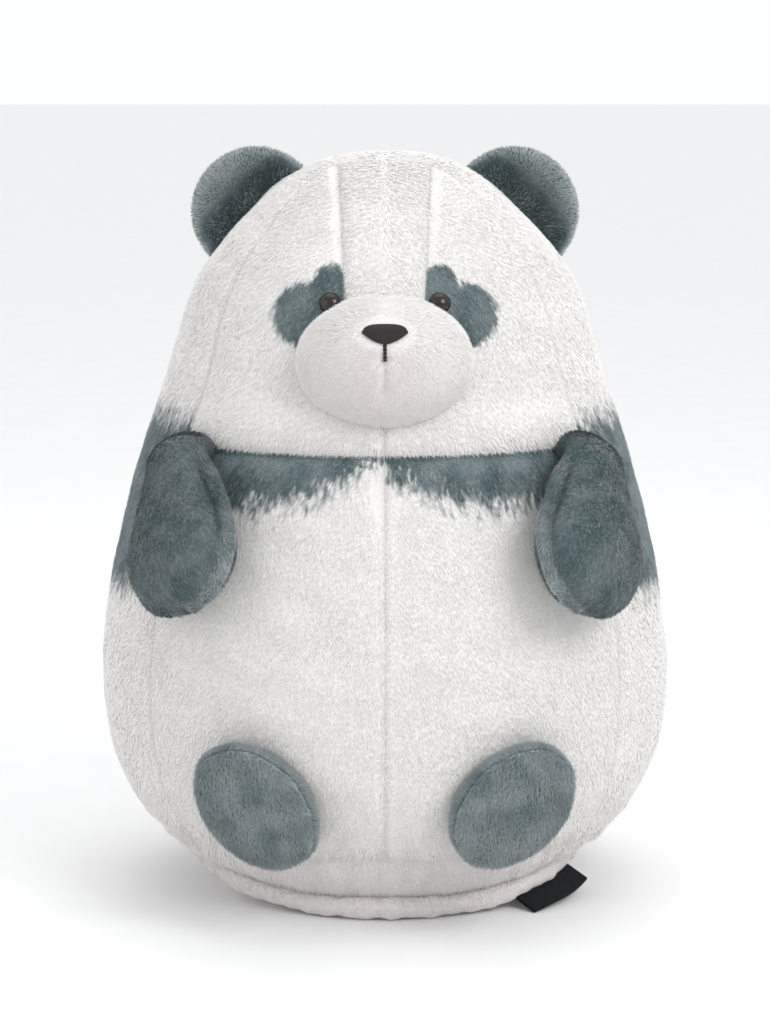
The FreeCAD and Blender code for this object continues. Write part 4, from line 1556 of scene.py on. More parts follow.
# ------------------------------------------------------------------ face
@dataclass
class Muzzle:
    """The padded muzzle with its satin nose and mouth."""

    shop: Workshop
    reach: float = 106.0
    nap: Nap = Nap(length=1.9, width=0.32, density=2.8, lift=0.5, tousle=0.25, curl_size=6.0)

    def __post_init__(self) -> None:
        """Read the muzzle's ellipsoid from the frame."""
        low, high = self.shop.frame.box("muzzle_cover")
        self.half = np.array([high[0], 30.0, 24.0])
        self.centre = np.array([0.0, low[1] + 30.0, 212.5])

    def at(self, off: Array, turn: Array) -> tuple[Array, Array]:
        """Points and normals from the angle off the tip and the turn about it."""
        s = np.sin(off)
        direction = np.stack([s * np.cos(turn), -np.cos(off) + 0 * turn, s * np.sin(turn)], -1)
        return self.centre + direction * self.half, unit(direction / self.half)

    def front_at(self, x: Array, z: Array) -> tuple[Array, Array]:
        """The point of the muzzle's front at a place seen from the front."""
        u, w = x / self.half[0], (z - self.centre[2]) / self.half[2]
        y = -np.sqrt(np.maximum(1 - u**2 - w**2, 0.0))
        direction = np.stack([u, y, w], -1)
        return self.centre + direction * self.half, unit(direction / self.half)

    def build(self) -> None:
        """Make cover, filling, nose and mouth."""
        rows, columns = 44, 96
        off = np.radians(np.linspace(1.5, self.reach, rows))
        turn = np.linspace(0, 2 * math.pi, columns, endpoint=False)
        grid_off, grid_turn = (g.ravel() for g in np.meshgrid(off, turn, indexing="ij"))
        points, normals = self.at(grid_off, grid_turn)
        tip, tip_normal = self.at(np.array([0.0]), np.array([0.0]))
        pole = len(points)
        faces = [tuple(reversed(f)) for f in grid_faces(rows, columns, True)]
        faces += [(pole, (c + 1) % columns, c) for c in range(columns)]
        points, normals = np.vstack([points, tip]), np.vstack([normals, tip_normal])
        closed, closed_faces = closed_cup(points, faces)
        rim = np.append(grid_off > math.radians(self.reach - 8), [False, True])
        swell = Inflation(cap=1.2).moves("muzzle", closed, closed_faces, rim.astype(float))
        points = points + swell[:-1]
        dent = 1.2 * bell(points[:, 0], 1.8) * smooth(-(points[:, 2] - 219.0), -2.0, 3.0)
        dent = dent * smooth(points[:, 2], 198.0, 206.0)
        lumps = 0.35 * ripple(points, 22.0, 31)
        points = points + normals * (lumps - dent)[:, None]
        x, _, z = points.T
        flow = np.stack([x / 20.0, 0 * x, (z - 224.0) / 16.0 - 0.25], axis=1)
        flow = laid(flow, normals)
        bare = smooth(np.hypot(x / 10.0, (z - 225.5) / 5.5), 0.75, 1.2)
        patch = Patch.of(points, wound(faces, points, normals), normals, flow,
                         charted(x, z), length=0.25 + 0.75 * bare)
        self.shop.dress(patch, "muzzle_cover", "muzzle", "body", 1.2, 0.9, self.nap, 401,
                        pile="muzzle_pile")
        inner = self.centre + (points - self.centre) * 0.9
        self.shop.stuff("muzzle", "body", *closed_cup(inner, patch.faces), 0.9)
        self.nose()

    def nose(self) -> None:
        """Satin stitches side by side in a shield, and one stitch for the mouth."""
        low, high = self.shop.frame.box("nose_embroidery")
        half, top, foot = high[0] - 0.7, high[2] - 0.5, low[2] + 0.3
        lines = []
        for x in np.linspace(-half, half, 31):
            share = abs(x) / half
            crest = top - 2.4 * (1.0 - math.sqrt(1.0 - share**3 * 0.98))
            keel = foot + (top - foot) * (0.02 + 0.55 * share**1.7)
            z = np.linspace(crest + 0.15, keel - 0.15, 9)
            points, normals = self.front_at(np.full(9, x), z)
            belly = 0.75 + 0.75 * np.sqrt(np.clip(1 - share**2, 0, 1)) * np.sin(
                np.linspace(0.15, math.pi - 0.15, 9)
            )
            lines.append(points + normals * belly[:, None])
        thread = self.shop.finishes["thread"]
        nose = self.shop.thread.lay("nose_stitches", lines, 0.36, thread)
        self.shop.sew(nose, "body", "black_thread", ["nose_embroidery"])
        low, high = self.shop.frame.box("mouth_stitch")
        plies = []
        for phase in (0.0, math.pi):
            z = np.linspace(foot + 0.8, low[2], 26)
            swing = phase + np.linspace(0, 5 * math.pi, 26)
            points, normals = self.front_at(0.33 * np.cos(swing), z)
            plies.append(points + normals * (0.55 + 0.33 * np.sin(swing))[:, None])
        mouth = self.shop.thread.lay("mouth_thread", plies, 0.42, thread)
        self.shop.sew(mouth, "body", "black_thread", ["mouth_stitch"])


def closed_cup(points: Array, faces: Faces) -> tuple[Array, Faces]:
    """Close the one open edge of a cup with a fan."""
    edges = open_edges(faces)
    rim = np.array([a for a, _ in edges])
    centre = len(points)
    points = np.vstack([points, points[rim].mean(axis=0)[None, :]])
    return points, faces + [(b, a, centre) for a, b in edges]


@dataclass
class Eyes:
    """Two glossy safety eyes, each with a shank, locked by a washer inside the head."""

    shop: Workshop
    radius: float = 4.1
    dome: float = 3.6

    def build(self) -> None:
        """Turn each eye on its own axis."""
        profile = self.profile()
        for name, _ in SIDES:
            washer = self.shop.frame.middle(f"{name}_eye_washer")
            points = self.shop.frame.points(f"{name}_eye")
            look = unit(self.shop.frame.middle(f"{name}_eye") - washer)
            front = (points @ look).max()
            seat = washer + look * (front - washer @ look - 3.2) - np.array([0.0, 0.0, 1.0])
            obj = mesh_object(f"{name}_eye_dome", *self.lathed(profile, seat, look))
            obj.data.materials.append(self.shop.finishes["eye"])
            self.shop.sew(obj, "body", "eye_plastic", [f"{name}_eye"])

    def profile(self) -> list[tuple[float, float]]:
        """Radius and height from the front of the dome round to the end of the shank."""
        angles = np.radians(np.linspace(0, 90, 14))
        dome = [(self.radius * math.sin(a), self.dome * math.cos(a)) for a in angles]
        flange = [(self.radius, -0.5), (self.radius - 0.3, -1.2), (2.0, -1.5), (1.5, -2.2)]
        ribs = [(1.5 - 0.25 * (i % 2), -3.0 - 0.8 * i) for i in range(6)]
        return dome + flange + ribs + [(1.1, -7.8), (0.0, -8.0)]

    @staticmethod
    def lathed(
        profile: list[tuple[float, float]], seat: Array, look: Array, around: int = 40
    ) -> tuple[Array, Faces]:
        """Spin a profile about an axis and close it at both ends.

        Args:
            profile: Radius and height of each ring.
            seat: Where height is 0.
            look: The axis.
            around: How many points a ring has.

        Returns:
            Points and faces.
        """
        side = unit(np.cross(look, [0.0, 0.0, 1.0]))
        up = np.cross(side, look)
        turn = np.linspace(0, 2 * math.pi, around, endpoint=False)
        ring = np.cos(turn)[:, None] * side + np.sin(turn)[:, None] * up
        points = [seat + look * profile[0][1]]
        for r, h in profile[1:-1]:
            points += list(seat + look * h + ring * r)
        points.append(seat + look * profile[-1][1])
        rows = len(profile) - 2
        faces = [(0, 1 + (c + 1) % around, 1 + c) for c in range(around)]
        for r in range(rows - 1):
            for c in range(around):
                a, b = 1 + r * around + c, 1 + r * around + (c + 1) % around
                faces.append((a, b, b + around, a + around))
        last, end = 1 + (rows - 1) * around, len(points) - 1
        faces += [(last + c, last + (c + 1) % around, end) for c in range(around)]
        faces = [tuple(reversed(f)) for f in faces]
        return np.array(points), faces


# ------------------------------------------------------------------ limbs
@dataclass
class Limb:
    """A stuffed cloth tube along a spine, flat across one direction."""

    spine: Array
    across: Array
    half_width: Array
    half_thick: Array
    around: int = 72
    crowding: float = 0.3

    def frames(self) -> tuple[Array, Array, Array]:
        """Tangent, width direction and thickness direction along the spine."""
        tangent = unit(np.gradient(self.spine, axis=0))
        side = np.tile(self.across, (len(tangent), 1))
        side = unit(side - tangent * (side * tangent).sum(1)[:, None])
        return tangent, side, np.cross(tangent, side)

    def skin(self, inset: float = 0.0) -> tuple[Array, Array, Array, Array]:
        """Points, normals, turns and shares of the tube's skin.

        Args:
            inset: How far inside the cover.

        Returns:
            The four arrays, ring after ring.
        """
        tangent, side, thick = self.frames()
        turn = np.linspace(0, 2 * math.pi, self.around, endpoint=False)
        turn = turn - self.crowding * np.sin(2 * turn)
        w = np.maximum(self.half_width - inset, 0.05)[:, None, None]
        t = np.maximum(self.half_thick - inset, 0.05)[:, None, None]
        c, s = np.cos(turn)[None, :, None], np.sin(turn)[None, :, None]
        points = self.spine[:, None, :] + side[:, None, :] * w * c + thick[:, None, :] * t * s
        normals = ring_normals(points)
        out = points - self.spine[:, None, :]
        flip = np.sign((normals * out).sum(-1, keepdims=True) + 1e-9)
        normals = normals * np.where(flip == 0, 1, flip)
        tip = unit(tangent[-1])
        normals[-1] = tip
        share = np.linspace(0, 1, len(self.spine))[:, None] + 0 * turn[None, :]
        turns = np.broadcast_to(turn, share.shape)
        return points.reshape(-1, 3), normals.reshape(-1, 3), turns.ravel(), share.ravel()


@dataclass
class Arm:
    """A flat teardrop arm, sewn to the shoulder and free to swing outwards."""

    shop: Workshop
    name: str
    side: float
    paw: float = 23.0
    top: float = 12.5
    welt: float = 3.0
    reach: float = 39.0
    flat: float = 0.60
    nap: Nap = Nap(length=2.0, width=0.33, density=3.1, lift=0.5, tousle=0.3, curl_size=5.0)

    def spine(self) -> tuple[Array, Array, Array, Array]:
        """The arm's middle line from inside the shoulder to the paw's end, and its sizes."""
        joint = f"{self.name}_arm_swing"
        pivot, hinge = self.shop.frame.pivot(joint), self.shop.frame.hinge(joint)
        middle = self.shop.frame.points(f"{self.name}_arm_stuffing").mean(axis=0)
        down = unit(middle - pivot)
        off = unit(np.cross(down, hinge))
        off = off * np.sign(off[:2] @ pivot[:2])
        self.pivot, self.hinge, self.down, self.off = pivot, hinge, down, off
        s = np.concatenate([np.linspace(-1, 0, 8)[:-1], np.linspace(0, 1, 46) ** 0.9])
        length = self.reach + self.paw
        lean = math.asin((self.paw - self.top) / self.reach)
        knee = self.reach - self.paw * math.sin(lean)
        run = np.where(s > 0, s * (length - 0.4), 0.0)
        straight = (self.top + (self.paw * math.cos(lean) - self.top) * run / knee)
        round_end = np.sqrt(np.maximum(self.paw**2 - (run - self.reach) ** 2, 0.02))
        width = np.where(run < knee, straight, round_end)
        width = np.where(s < 0, self.top + 2.0 * np.abs(s), width)
        root = np.clip(-s, 0, 1)[:, None]
        aside = hinge * -np.sign(hinge[0] * -self.side)
        spine = pivot + down * run[:, None] - off * 21.0 * root**1.1 - down * 10.5 * root
        spine = spine + aside * 5.0 * root
        thick = width * self.flat
        thick = np.where(s < 0, 7.6 + 0.6 * np.abs(s), np.maximum(thick, 7.6 * (run < knee)))
        return spine, hinge, width, thick

    def build(self) -> None:
        """Outer and inner cloth with pile, and the filling."""
        spine, hinge, width, thick = self.spine()
        limb = Limb(spine, hinge, width, thick)
        points, normals, turns, share = limb.skin()
        rows, around = len(spine), limb.around
        tube, tube_faces = closed_tube(points, grid_faces(rows, around, True), around)
        held = np.append(1.0 - smooth(share, 0.12, 0.3), [1.0, 0.0])
        points = points + Inflation(cap=1.6).moves(f"{self.name}_arm", tube, tube_faces, held)[:-2]
        beside = np.abs(np.sin(turns)) * np.repeat(thick, around)
        inner_side = smooth(np.cos(turns) * self.inward(), -0.4, 0.4)
        grows = smooth(share, 0.12, 0.3) * (0.35 + 0.65 * inner_side)
        ridge = self.welt * bell(beside, 1.5) * grows
        sink = 1.3 * bell(beside - 3.4, 1.3) * grows
        lumps = 0.45 * ripple(points, 19.0, 51 if self.side > 0 else 52)
        points = points + normals * (ridge - sink + lumps)[:, None]
        tangent = np.repeat(limb.frames()[0], around, axis=0)
        slant = np.repeat(limb.frames()[1], around, axis=0) * (0.45 * self.side)
        # Random patches that break up the painted sheen highlight below.
        sheen_patches = 0.5 + 0.5 * smooth(ripple(points, 6.0, 57), -0.2, 0.6)
        # Painted sheen highlight: lighter pile along the welt on the side towards the belly, nearer the
        # paw.
        tint_and_painted_light = 0.7 * bell(beside - 0.8, 2.6) * sheen_patches * smooth(share, 0.3, 0.75) * inner_side
        # Painted shade: darker pile in the crease beside the welt, near the shoulder.
        tint_and_painted_light -= 0.75 * bell(beside - 3.4, 1.4) * grows * (1.0 - smooth(share, 0.45, 0.75))
        faces = wound(grid_faces(rows, around, True), points, normals)
        patch = Patch.of(points, faces, normals, tangent + slant, charted(turns, share), tint_and_painted_light=tint_and_painted_light)
        tip = len(points)
        patch = with_tip(patch, spine[-1] + unit(tangent[-1]) * 0.3, unit(tangent[-1]), around)
        mid_turn = np.array([turns[[i for i in f if i < tip]].mean() for f in patch.faces])
        mid_turn = mid_turn % (2 * math.pi)
        wrap = np.array([np.ptp(turns[[i for i in f if i < tip]]) > 3.5 for f in patch.faces])
        outer = (mid_turn < math.pi) & ~wrap
        facing = np.dot(np.cross(limb.frames()[0][20], limb.frames()[1][20]), self.off)
        names = ("outer", "inner") if facing > 0 else ("inner", "outer")
        root = (self.pivot - self.off * 5.0 - self.down * 3.0, self.pivot + self.down * 6.0)
        for seed, (which, keep) in enumerate(zip(names, (outer, ~outer))):
            part = f"{self.name}_arm_{which}"
            self.shop.dress(
                patch.part(keep), part + "_panel", "slate", f"{self.name}_arm", 1.2, 0.8, self.nap,
                501 + seed + int(self.side > 0) * 4, root, part + "_pile",
            )
        self.filling(limb, root)

    def inward(self) -> float:
        """Plus one where the width direction points to the belly."""
        return 1.0 if self.hinge[0] * self.side < 0 else -1.0

    def filling(self, limb: Limb, root: tuple[Array, Array]) -> None:
        """Fibre inside the arm."""
        points, normals, _, _ = limb.skin(inset=3.2)
        faces = wound(grid_faces(len(limb.spine), limb.around, True), points, normals)
        part = f"{self.name}_arm"
        self.shop.stuff(part, part, *closed_tube(points, faces, limb.around), 0.8, root)


def with_tip(patch: Patch, tip: Array, normal: Array, around: int) -> Patch:
    """Close the end of a tube of cloth with a fan.

    Args:
        patch: The tube, whose last ring is its end.
        tip: The fan's middle.
        normal: Which way the fan faces.
        around: How many points a ring has.

    Returns:
        The closed patch.
    """
    pole = len(patch.points)
    first = pole - around
    fan = [(first + c, first + (c + 1) % around, pole) for c in range(around)]
    points = np.vstack([patch.points, tip])
    a, b, c = (points[i] for i in fan[0])
    if np.dot(np.cross(b - a, c - a), normal) < 0:
        fan = [tuple(reversed(f)) for f in fan]
    return Patch(
        points, patch.faces + fan, np.vstack([patch.normals, normal]),
        np.vstack([patch.flow, patch.flow[-1]]), np.append(patch.length, 1.0),
        np.append(patch.tint_and_painted_light, patch.tint_and_painted_light[-1]), np.vstack([patch.chart, patch.chart[-1]]),
    )


def closed_tube(points: Array, faces: Faces, around: int) -> tuple[Array, Faces]:
    """Close both ends of a tube with fans."""
    first, last = points[:around].mean(axis=0), points[-around:].mean(axis=0)
    count = len(points)
    points = np.vstack([points, first, last])
    fans = [
        (b, a, count if max(a, b) < around else count + 1) for a, b in open_edges(faces)
    ]
    return points, faces + fans


@dataclass
class Foot:
    """A thick oval foot whose sole faces forward, sewn low on the belly."""

    shop: Workshop
    name: str
    side: float
    seam: float = 1.0
    nap: Nap = Nap(length=2.0, width=0.33, density=3.1, lift=0.5, tousle=0.32, curl_size=5.0)

    def __post_init__(self) -> None:
        """Read the sole's middle, axes and size from the frame."""
        frame = self.shop.frame
        sole = frame.points(f"{self.name}_foot_sole")
        axes = frame.spread(f"{self.name}_foot_sole")
        self.pivot = frame.pivot(f"{self.name}_foot_flex")
        out = axes[2] * (-1.0 if axes[2][1] > 0 else 1.0)
        toe = axes[0] * (1.0 if axes[0][2] > 0 else -1.0)
        self.out, self.toe = out, toe
        self.across = np.cross(out, toe)
        middle = sole.mean(axis=0)
        along = (sole - middle) @ toe
        beside = (sole - middle) @ self.across
        self.half_length = np.ptp(along) / 2
        self.half_width = np.ptp(beside) / 2
        self.middle = middle - out * ((middle - self.pivot) @ out)
        self.front = ((sole - self.middle) @ out).max()

    def build(self) -> None:
        """Sole and upper with pile, then the filling."""
        around = 88
        turn = np.linspace(0, 2 * math.pi, around, endpoint=False)
        front = self.front - 2.4
        profile = [
            (0.0, 2.6), (0.25, 2.5), (0.5, 2.1), (0.7, 1.5), (0.84, 0.8), (0.93, 0.1),
            (0.98, -0.9), (0.985, -2.0), (1.02, -3.0), (1.03, -5.5), (1.0, -8.5),
            (0.92, -11.5), (0.8, -14.5), (0.7, -18.5),
        ]
        share = np.array([p[0] for p in profile])
        height = np.array([front + p[1] for p in profile])
        fine = np.linspace(0, len(profile) - 1, 44)
        share = np.interp(fine, np.arange(len(profile)), share)
        height = np.interp(fine, np.arange(len(profile)), height)
        kernel = np.array([0.25, 0.5, 0.25])
        for _ in range(3):
            share[1:-1] = np.convolve(share, kernel, "valid")
            height[1:-1] = np.convolve(height, kernel, "valid")
        share[0] = 0.01
        points, normals = self.spun(share * 0.965, height, turn)
        seam = bell(height - front + 2.0, 1.2)
        held = np.repeat(np.maximum(seam, height < front - 13.0), around)
        tube, tube_faces = closed_tube(
            points.reshape(-1, 3), grid_faces(len(share), around, True), around
        )
        held = np.append(held, [0.0, 1.0])
        moves = Inflation(cap=1.6).moves(f"{self.name}_foot", tube, tube_faces, held)[:-2]
        points = points + moves.reshape(points.shape)
        sole_rows = int(np.searchsorted(-height, -(front - 1.9)))
        self.dress(points, normals, share, turn, sole_rows)
        self.filling(share, height, turn)

    def spun(self, share: Array, height: Array, turn: Array) -> tuple[Array, Array]:
        """Oval rings about the sole's normal.

        Args:
            share: Each ring's share of the full oval.
            height: Each ring's height.
            turn: The angles round it.

        Returns:
            Points and normals.
        """
        c, s = np.cos(turn)[None, :, None], np.sin(turn)[None, :, None]
        r = share[:, None, None]
        points = (
            self.middle
            + self.toe * (self.half_length * r * c)
            + self.across * (self.half_width * r * s)
            + self.out * height[:, None, None]
        )
        normals = ring_normals(points)
        wrong = (normals[20] * (points[20] - self.middle)).sum(-1).mean() < 0
        normals = -normals if wrong else normals
        normals[0] = self.out
        return points, normals

    def dress(self, points: Array, normals: Array, share: Array, turn: Array, rows: int) -> None:
        """Cut the rings into sole and upper, and dress both.

        Args:
            points: The rings' points.
            normals: Their normals.
            share: Each ring's share of the full oval.
            turn: The angles round it.
            rows: How many rings the sole has.
        """
        around = len(turn)
        flat, flat_normals = points.reshape(-1, 3), normals.reshape(-1, 3)
        total = len(share)
        row = np.repeat(np.arange(total), around)
        groove = 1.3 * bell(row - rows, 1.3)
        lumps = 0.35 * ripple(flat, 15.0, 61)
        dimple = 0.45 * bell(share[row] - 0.45, 0.3) * (row < rows)
        flat = flat + flat_normals * (lumps - groove + dimple)[:, None]
        sweep = np.tile(-self.toe * 0.7 + np.array([0.0, 0.0, -0.9]), (len(flat), 1))
        back = -np.tile(self.out, (len(flat), 1))
        flow = np.where((row < rows)[:, None], sweep, back + sweep * 0.4)
        flow = laid(flow, flat_normals)
        turns = np.tile(turn, total)
        up_in = np.cos(turns - math.radians(90.0) * np.sign(self.across[2]))
        # Random patches that break up the painted sheen highlight below.
        sheen_patches = smooth(ripple(flat, 6.0, 67), -0.3, 0.6)
        # Painted sheen highlight: lighter pile just inside the sole's seam, on the side that faces up and
        # inwards.
        tint_and_painted_light = 0.65 * bell(row - rows + 2.5, 1.8) * smooth(up_in, -0.3, 0.7) * sheen_patches
        # Painted shade: darker pile in the seam's groove.
        tint_and_painted_light -= 0.55 * bell(row - rows, 1.1)
        # A lighter tint over the whole foot, varying at random.
        tint_and_painted_light += 0.24 + 0.12 * ripple(flat, 14.0, 68)
        faces = wound(grid_faces(total, around, True), flat, flat_normals)
        radial = np.stack([share[row] * np.cos(turns), share[row] * np.sin(turns)], axis=1)
        patch = Patch.of(flat, faces, flat_normals, flow, charted(radial[:, 0], radial[:, 1]),
                         length=1.0 - 0.35 * bell(row - rows, 1.5), tint_and_painted_light=tint_and_painted_light)
        face_row = np.array([min(f) // around for f in faces])
        root = (self.pivot - self.out * 12.0, self.pivot - self.out * 2.0)
        body = f"{self.name}_foot"
        for seed, (which, keep) in enumerate((("sole", face_row < rows), ("upper", face_row >= rows))):
            half = patch.part(keep)
            if which == "upper":
                half.chart = charted(turns[row >= rows], row[row >= rows])
            self.shop.dress(half, f"{body}_{which}", "slate", body, 1.2, 0.9, self.nap,
                            601 + seed, root)

    def filling(self, share: Array, height: Array, turn: Array) -> None:
        """Fibre inside the foot."""
        inner, _ = self.spun(np.maximum(share - 0.14, 0.01), height - 2.4 * (height > 0), turn)
        flat = inner.reshape(-1, 3)
        faces = wound(grid_faces(len(share), len(turn), True), flat, flat - flat.mean(axis=0))
        root = (self.pivot - self.out * 12.0, self.pivot - self.out * 2.0)
        body = f"{self.name}_foot"
        self.shop.stuff(body, body, *closed_tube(flat, faces, len(turn)), 0.9, root)


@dataclass
class Ear:
    """A round cupped ear, sewn across the side of the head."""

    shop: Workshop
    name: str
    side: float
    radius: float = 24.5
    height: float = 21.0
    thick: float = 3.6
    bury: float = 9.0
    nap: Nap = Nap(length=1.6, width=0.32, density=3.4, lift=0.45, tousle=0.25, curl_size=6.0)

    def build(self) -> None:
        """Front and back of the ear, with pile."""
        joint = f"{self.name}_ear_bend"
        pivot, seam = self.shop.frame.pivot(joint), self.shop.frame.hinge(joint)
        ahead = np.array([0.0, -1.0, 0.0])
        out = unit(np.cross(seam, ahead))
        out = out * np.sign((self.shop.frame.middle(f"{self.name}_ear_front") - pivot) @ out)
        rows, columns = 40, 52
        v = np.linspace(0, 1, rows)
        rise = -self.bury + (self.height + self.bury) * np.sin(v * math.pi / 2)
        centre = self.height - self.radius
        half = np.sqrt(np.maximum(self.radius**2 - (rise - centre) ** 2, 0.01))
        u = np.sin(np.linspace(-math.pi / 2, math.pi / 2, columns))
        x = half[:, None] * u[None, :]
        z = np.broadcast_to(rise[:, None], x.shape)
        rho = np.clip(np.hypot(x, np.maximum(z - centre, 0)) / self.radius, 0, 1)
        sideways = np.abs(u)[None, :] + 0 * x
        rho = np.maximum(rho, sideways * 0.999)
        swell = self.thick * np.sqrt(np.maximum(1 - rho**5, 0.0))
        cup = 4.5 * (rho**2) - 1.5
        hollow = 5.5 * np.exp(-((x / 17.0) ** 4)) * (1.0 - smooth(z, 5.0, 15.0))
        for which, sign in (("front", 1.0), ("back", -1.0)):
            level = cup + sign * (swell - (hollow if sign > 0 else 0.0))
            points = (
                pivot + seam * x[..., None] + out * z[..., None] + ahead * level[..., None]
            )
            self.dress(points, rho, which, sign, ahead, out, pivot)

    def dress(
        self, points: Array, rho: Array, which: str, sign: float, ahead: Array, out: Array,
        pivot: Array,
    ) -> None:
        """Cloth and pile for one face of the ear.

        Args:
            points: The face's grid.
            rho: Share of the way to the edge.
            which: front or back.
            sign: 1 for the front, -1 for the back.
            ahead: The way the ear faces.
            out: Away from the head.
            pivot: The middle of its seam.
        """
        rows, columns = rho.shape
        normals = sheet_normals(points)
        if (normals @ (ahead * sign)).mean() < 0:
            normals = -normals
        flat, flat_normals = points.reshape(-1, 3), normals.reshape(-1, 3)
        faces = wound(grid_faces(rows, columns), flat, flat_normals)
        flow = flat - (pivot - out * 6.0)
        flow = laid(flow, flat_normals)
        x_chart = np.tile(np.arange(columns), rows)
        y_chart = np.repeat(np.arange(rows), columns)
        rise = (flat - pivot) @ out
        # A lighter tint over the whole ear, a little more at the rim.
        tint_and_painted_light = 0.42 + 0.2 * smooth(rho.ravel(), 0.85, 1.0)
        if which == "front":
            # Painted shade: the front darkens towards the root, in the hollow next to the head.
            tint_and_painted_light -= 1.3 * (1.0 - smooth(rise, 4.0, 11.0)) * (1.0 - smooth(rho.ravel(), 0.8, 1.0))
        patch = Patch.of(flat, faces, flat_normals, flow, charted(x_chart, y_chart), tint_and_painted_light=tint_and_painted_light)
        body, node = f"{self.name}_ear", f"{self.name}_ear_{which}"
        root = (pivot - out * 5.0, pivot + out * 4.0)
        self.shop.dress(patch, node, "slate", body, 0.9, 0.4, self.nap, 701 + int(sign), root)


@dataclass
class Tail:
    """A short blunt tail low on the back."""

    shop: Workshop
    nap: Nap = Nap(length=3.2, width=0.44, density=1.7)

    def build(self) -> None:
        """Cover, pile and filling about one spine."""
        pivot = self.shop.frame.pivot("tail_flick")
        away = unit(np.array([0.0, 1.0, 0.3]))
        reach = ((self.shop.frame.points("tail_cover") - pivot) @ away).max()
        s = np.sin(np.linspace(-math.pi / 2, math.pi / 2, 36))
        run = -25.0 + (reach + 25.0) * (s + 1) / 2
        width = 12.2 * np.sqrt(np.maximum(1 - (np.maximum(run, 0) / reach) ** 2.2, 0.0005))
        width = np.where(run < 0, 12.2 - 0.12 * np.abs(run), width)
        spine = pivot + away * run[:, None]
        limb = Limb(spine, np.array([1.0, 0.0, 0.0]), width, width * 0.95, around=48)
        points, normals, turns, share = limb.skin()
        tube, tube_faces = closed_tube(points, grid_faces(len(spine), 48, True), 48)
        held = np.append(1.0 - smooth(share, 0.4, 0.6), [1.0, 0.0])
        points = points + Inflation(cap=1.0).moves("tail", tube, tube_faces, held)[:-2]
        points = points + normals * (0.4 * ripple(points, 12.0, 71))[:, None]
        faces = wound(grid_faces(len(spine), 48, True), points, normals)
        flow = np.repeat(limb.frames()[0], 48, axis=0) + np.array([0.0, 0.0, -0.5])
        patch = Patch.of(points, faces, normals, flow, charted(turns, share))
        patch = with_tip(patch, spine[-1] + away * 0.2, away, 48)
        root = (pivot - away * 12.0, pivot)
        self.shop.dress(patch, "tail_cover", "white", "tail", 1.2, 0.9, self.nap, 801, root,
                        "tail_pile")
        inner, _, _, _ = limb.skin(inset=3.0)
        self.shop.stuff("tail", "tail", *closed_tube(inner, faces, 48), 0.9, root)


@dataclass
class Label:
    """A folded ribbon sewn under the rim, blank on both faces."""

    shop: Workshop
    ribbon: float = 0.35
    gap: float = 0.25
    raised: float = 2.6
    roll: float = 0.15
    tuck: float = 3.0
    droop: float = 0.2
    curve: float = 78.0

    def build(self) -> None:
        """Fold the ribbon at its outer edge, with its root tucked under the rim."""
        pivot, seam = self.shop.frame.pivot("label_flap"), self.shop.frame.hinge("label_flap")
        points = self.shop.frame.points("sewn_label")
        length = np.ptp(points @ seam)
        away = points.mean(axis=0) - pivot
        away = unit(away - seam * (away @ seam))
        reach = ((points - pivot) @ away).max()
        up = np.cross(seam, away) * np.sign(np.cross(seam, away)[2])
        columns = 30
        arc = self.ribbon / 2 + self.gap
        across = np.linspace(0, reach - arc - self.ribbon, 12)
        fold = np.radians(np.linspace(90, -90, 12))
        line = [(a, arc) for a in across[:-1]]
        line += [(across[-1] + arc * math.cos(f), arc * math.sin(f)) for f in fold]
        line += [(a, -arc) for a in across[::-1][1:]]
        line = np.array(line)
        rows = len(line)
        x = np.linspace(-length / 2, length / 2, columns)
        bend = 0.35 * np.sin(x / 5.0)[None, :] * (line[:, 0] / reach)[:, None]
        grid = (
            pivot
            + seam * x[None, :, None]
            + away * (line[:, :1] - self.tuck - x[None, :] ** 2 / (2 * self.curve))[..., None]
            + up * (line[:, 1][:, None] + bend + 0.25)[..., None]
            + np.array([0.0, 0.0, 1.0])
            * (self.raised - self.roll * x[None, :] - self.droop * line[:, :1])[..., None]
        )
        normals = sheet_normals(grid)
        if (normals[2] @ up).mean() < 0:
            normals = -normals
        flat, flat_normals = grid.reshape(-1, 3), normals.reshape(-1, 3)
        faces = wound(grid_faces(rows, columns), flat, flat_normals)
        chart = charted(np.tile(x, rows), np.repeat(np.arange(rows), columns))
        patch = Patch.of(flat + flat_normals * self.ribbon / 2, faces, flat_normals,
                         flat_normals, chart)
        tag = patch.cloth("folded_label", self.ribbon, self.shop.finishes["ribbon"])
        root = (pivot - away * self.tuck, pivot + away * 6.0)
        self.shop.sew(tag, "label", "label_ribbon", ["sewn_label"], root=root)
        2 * reach * MM


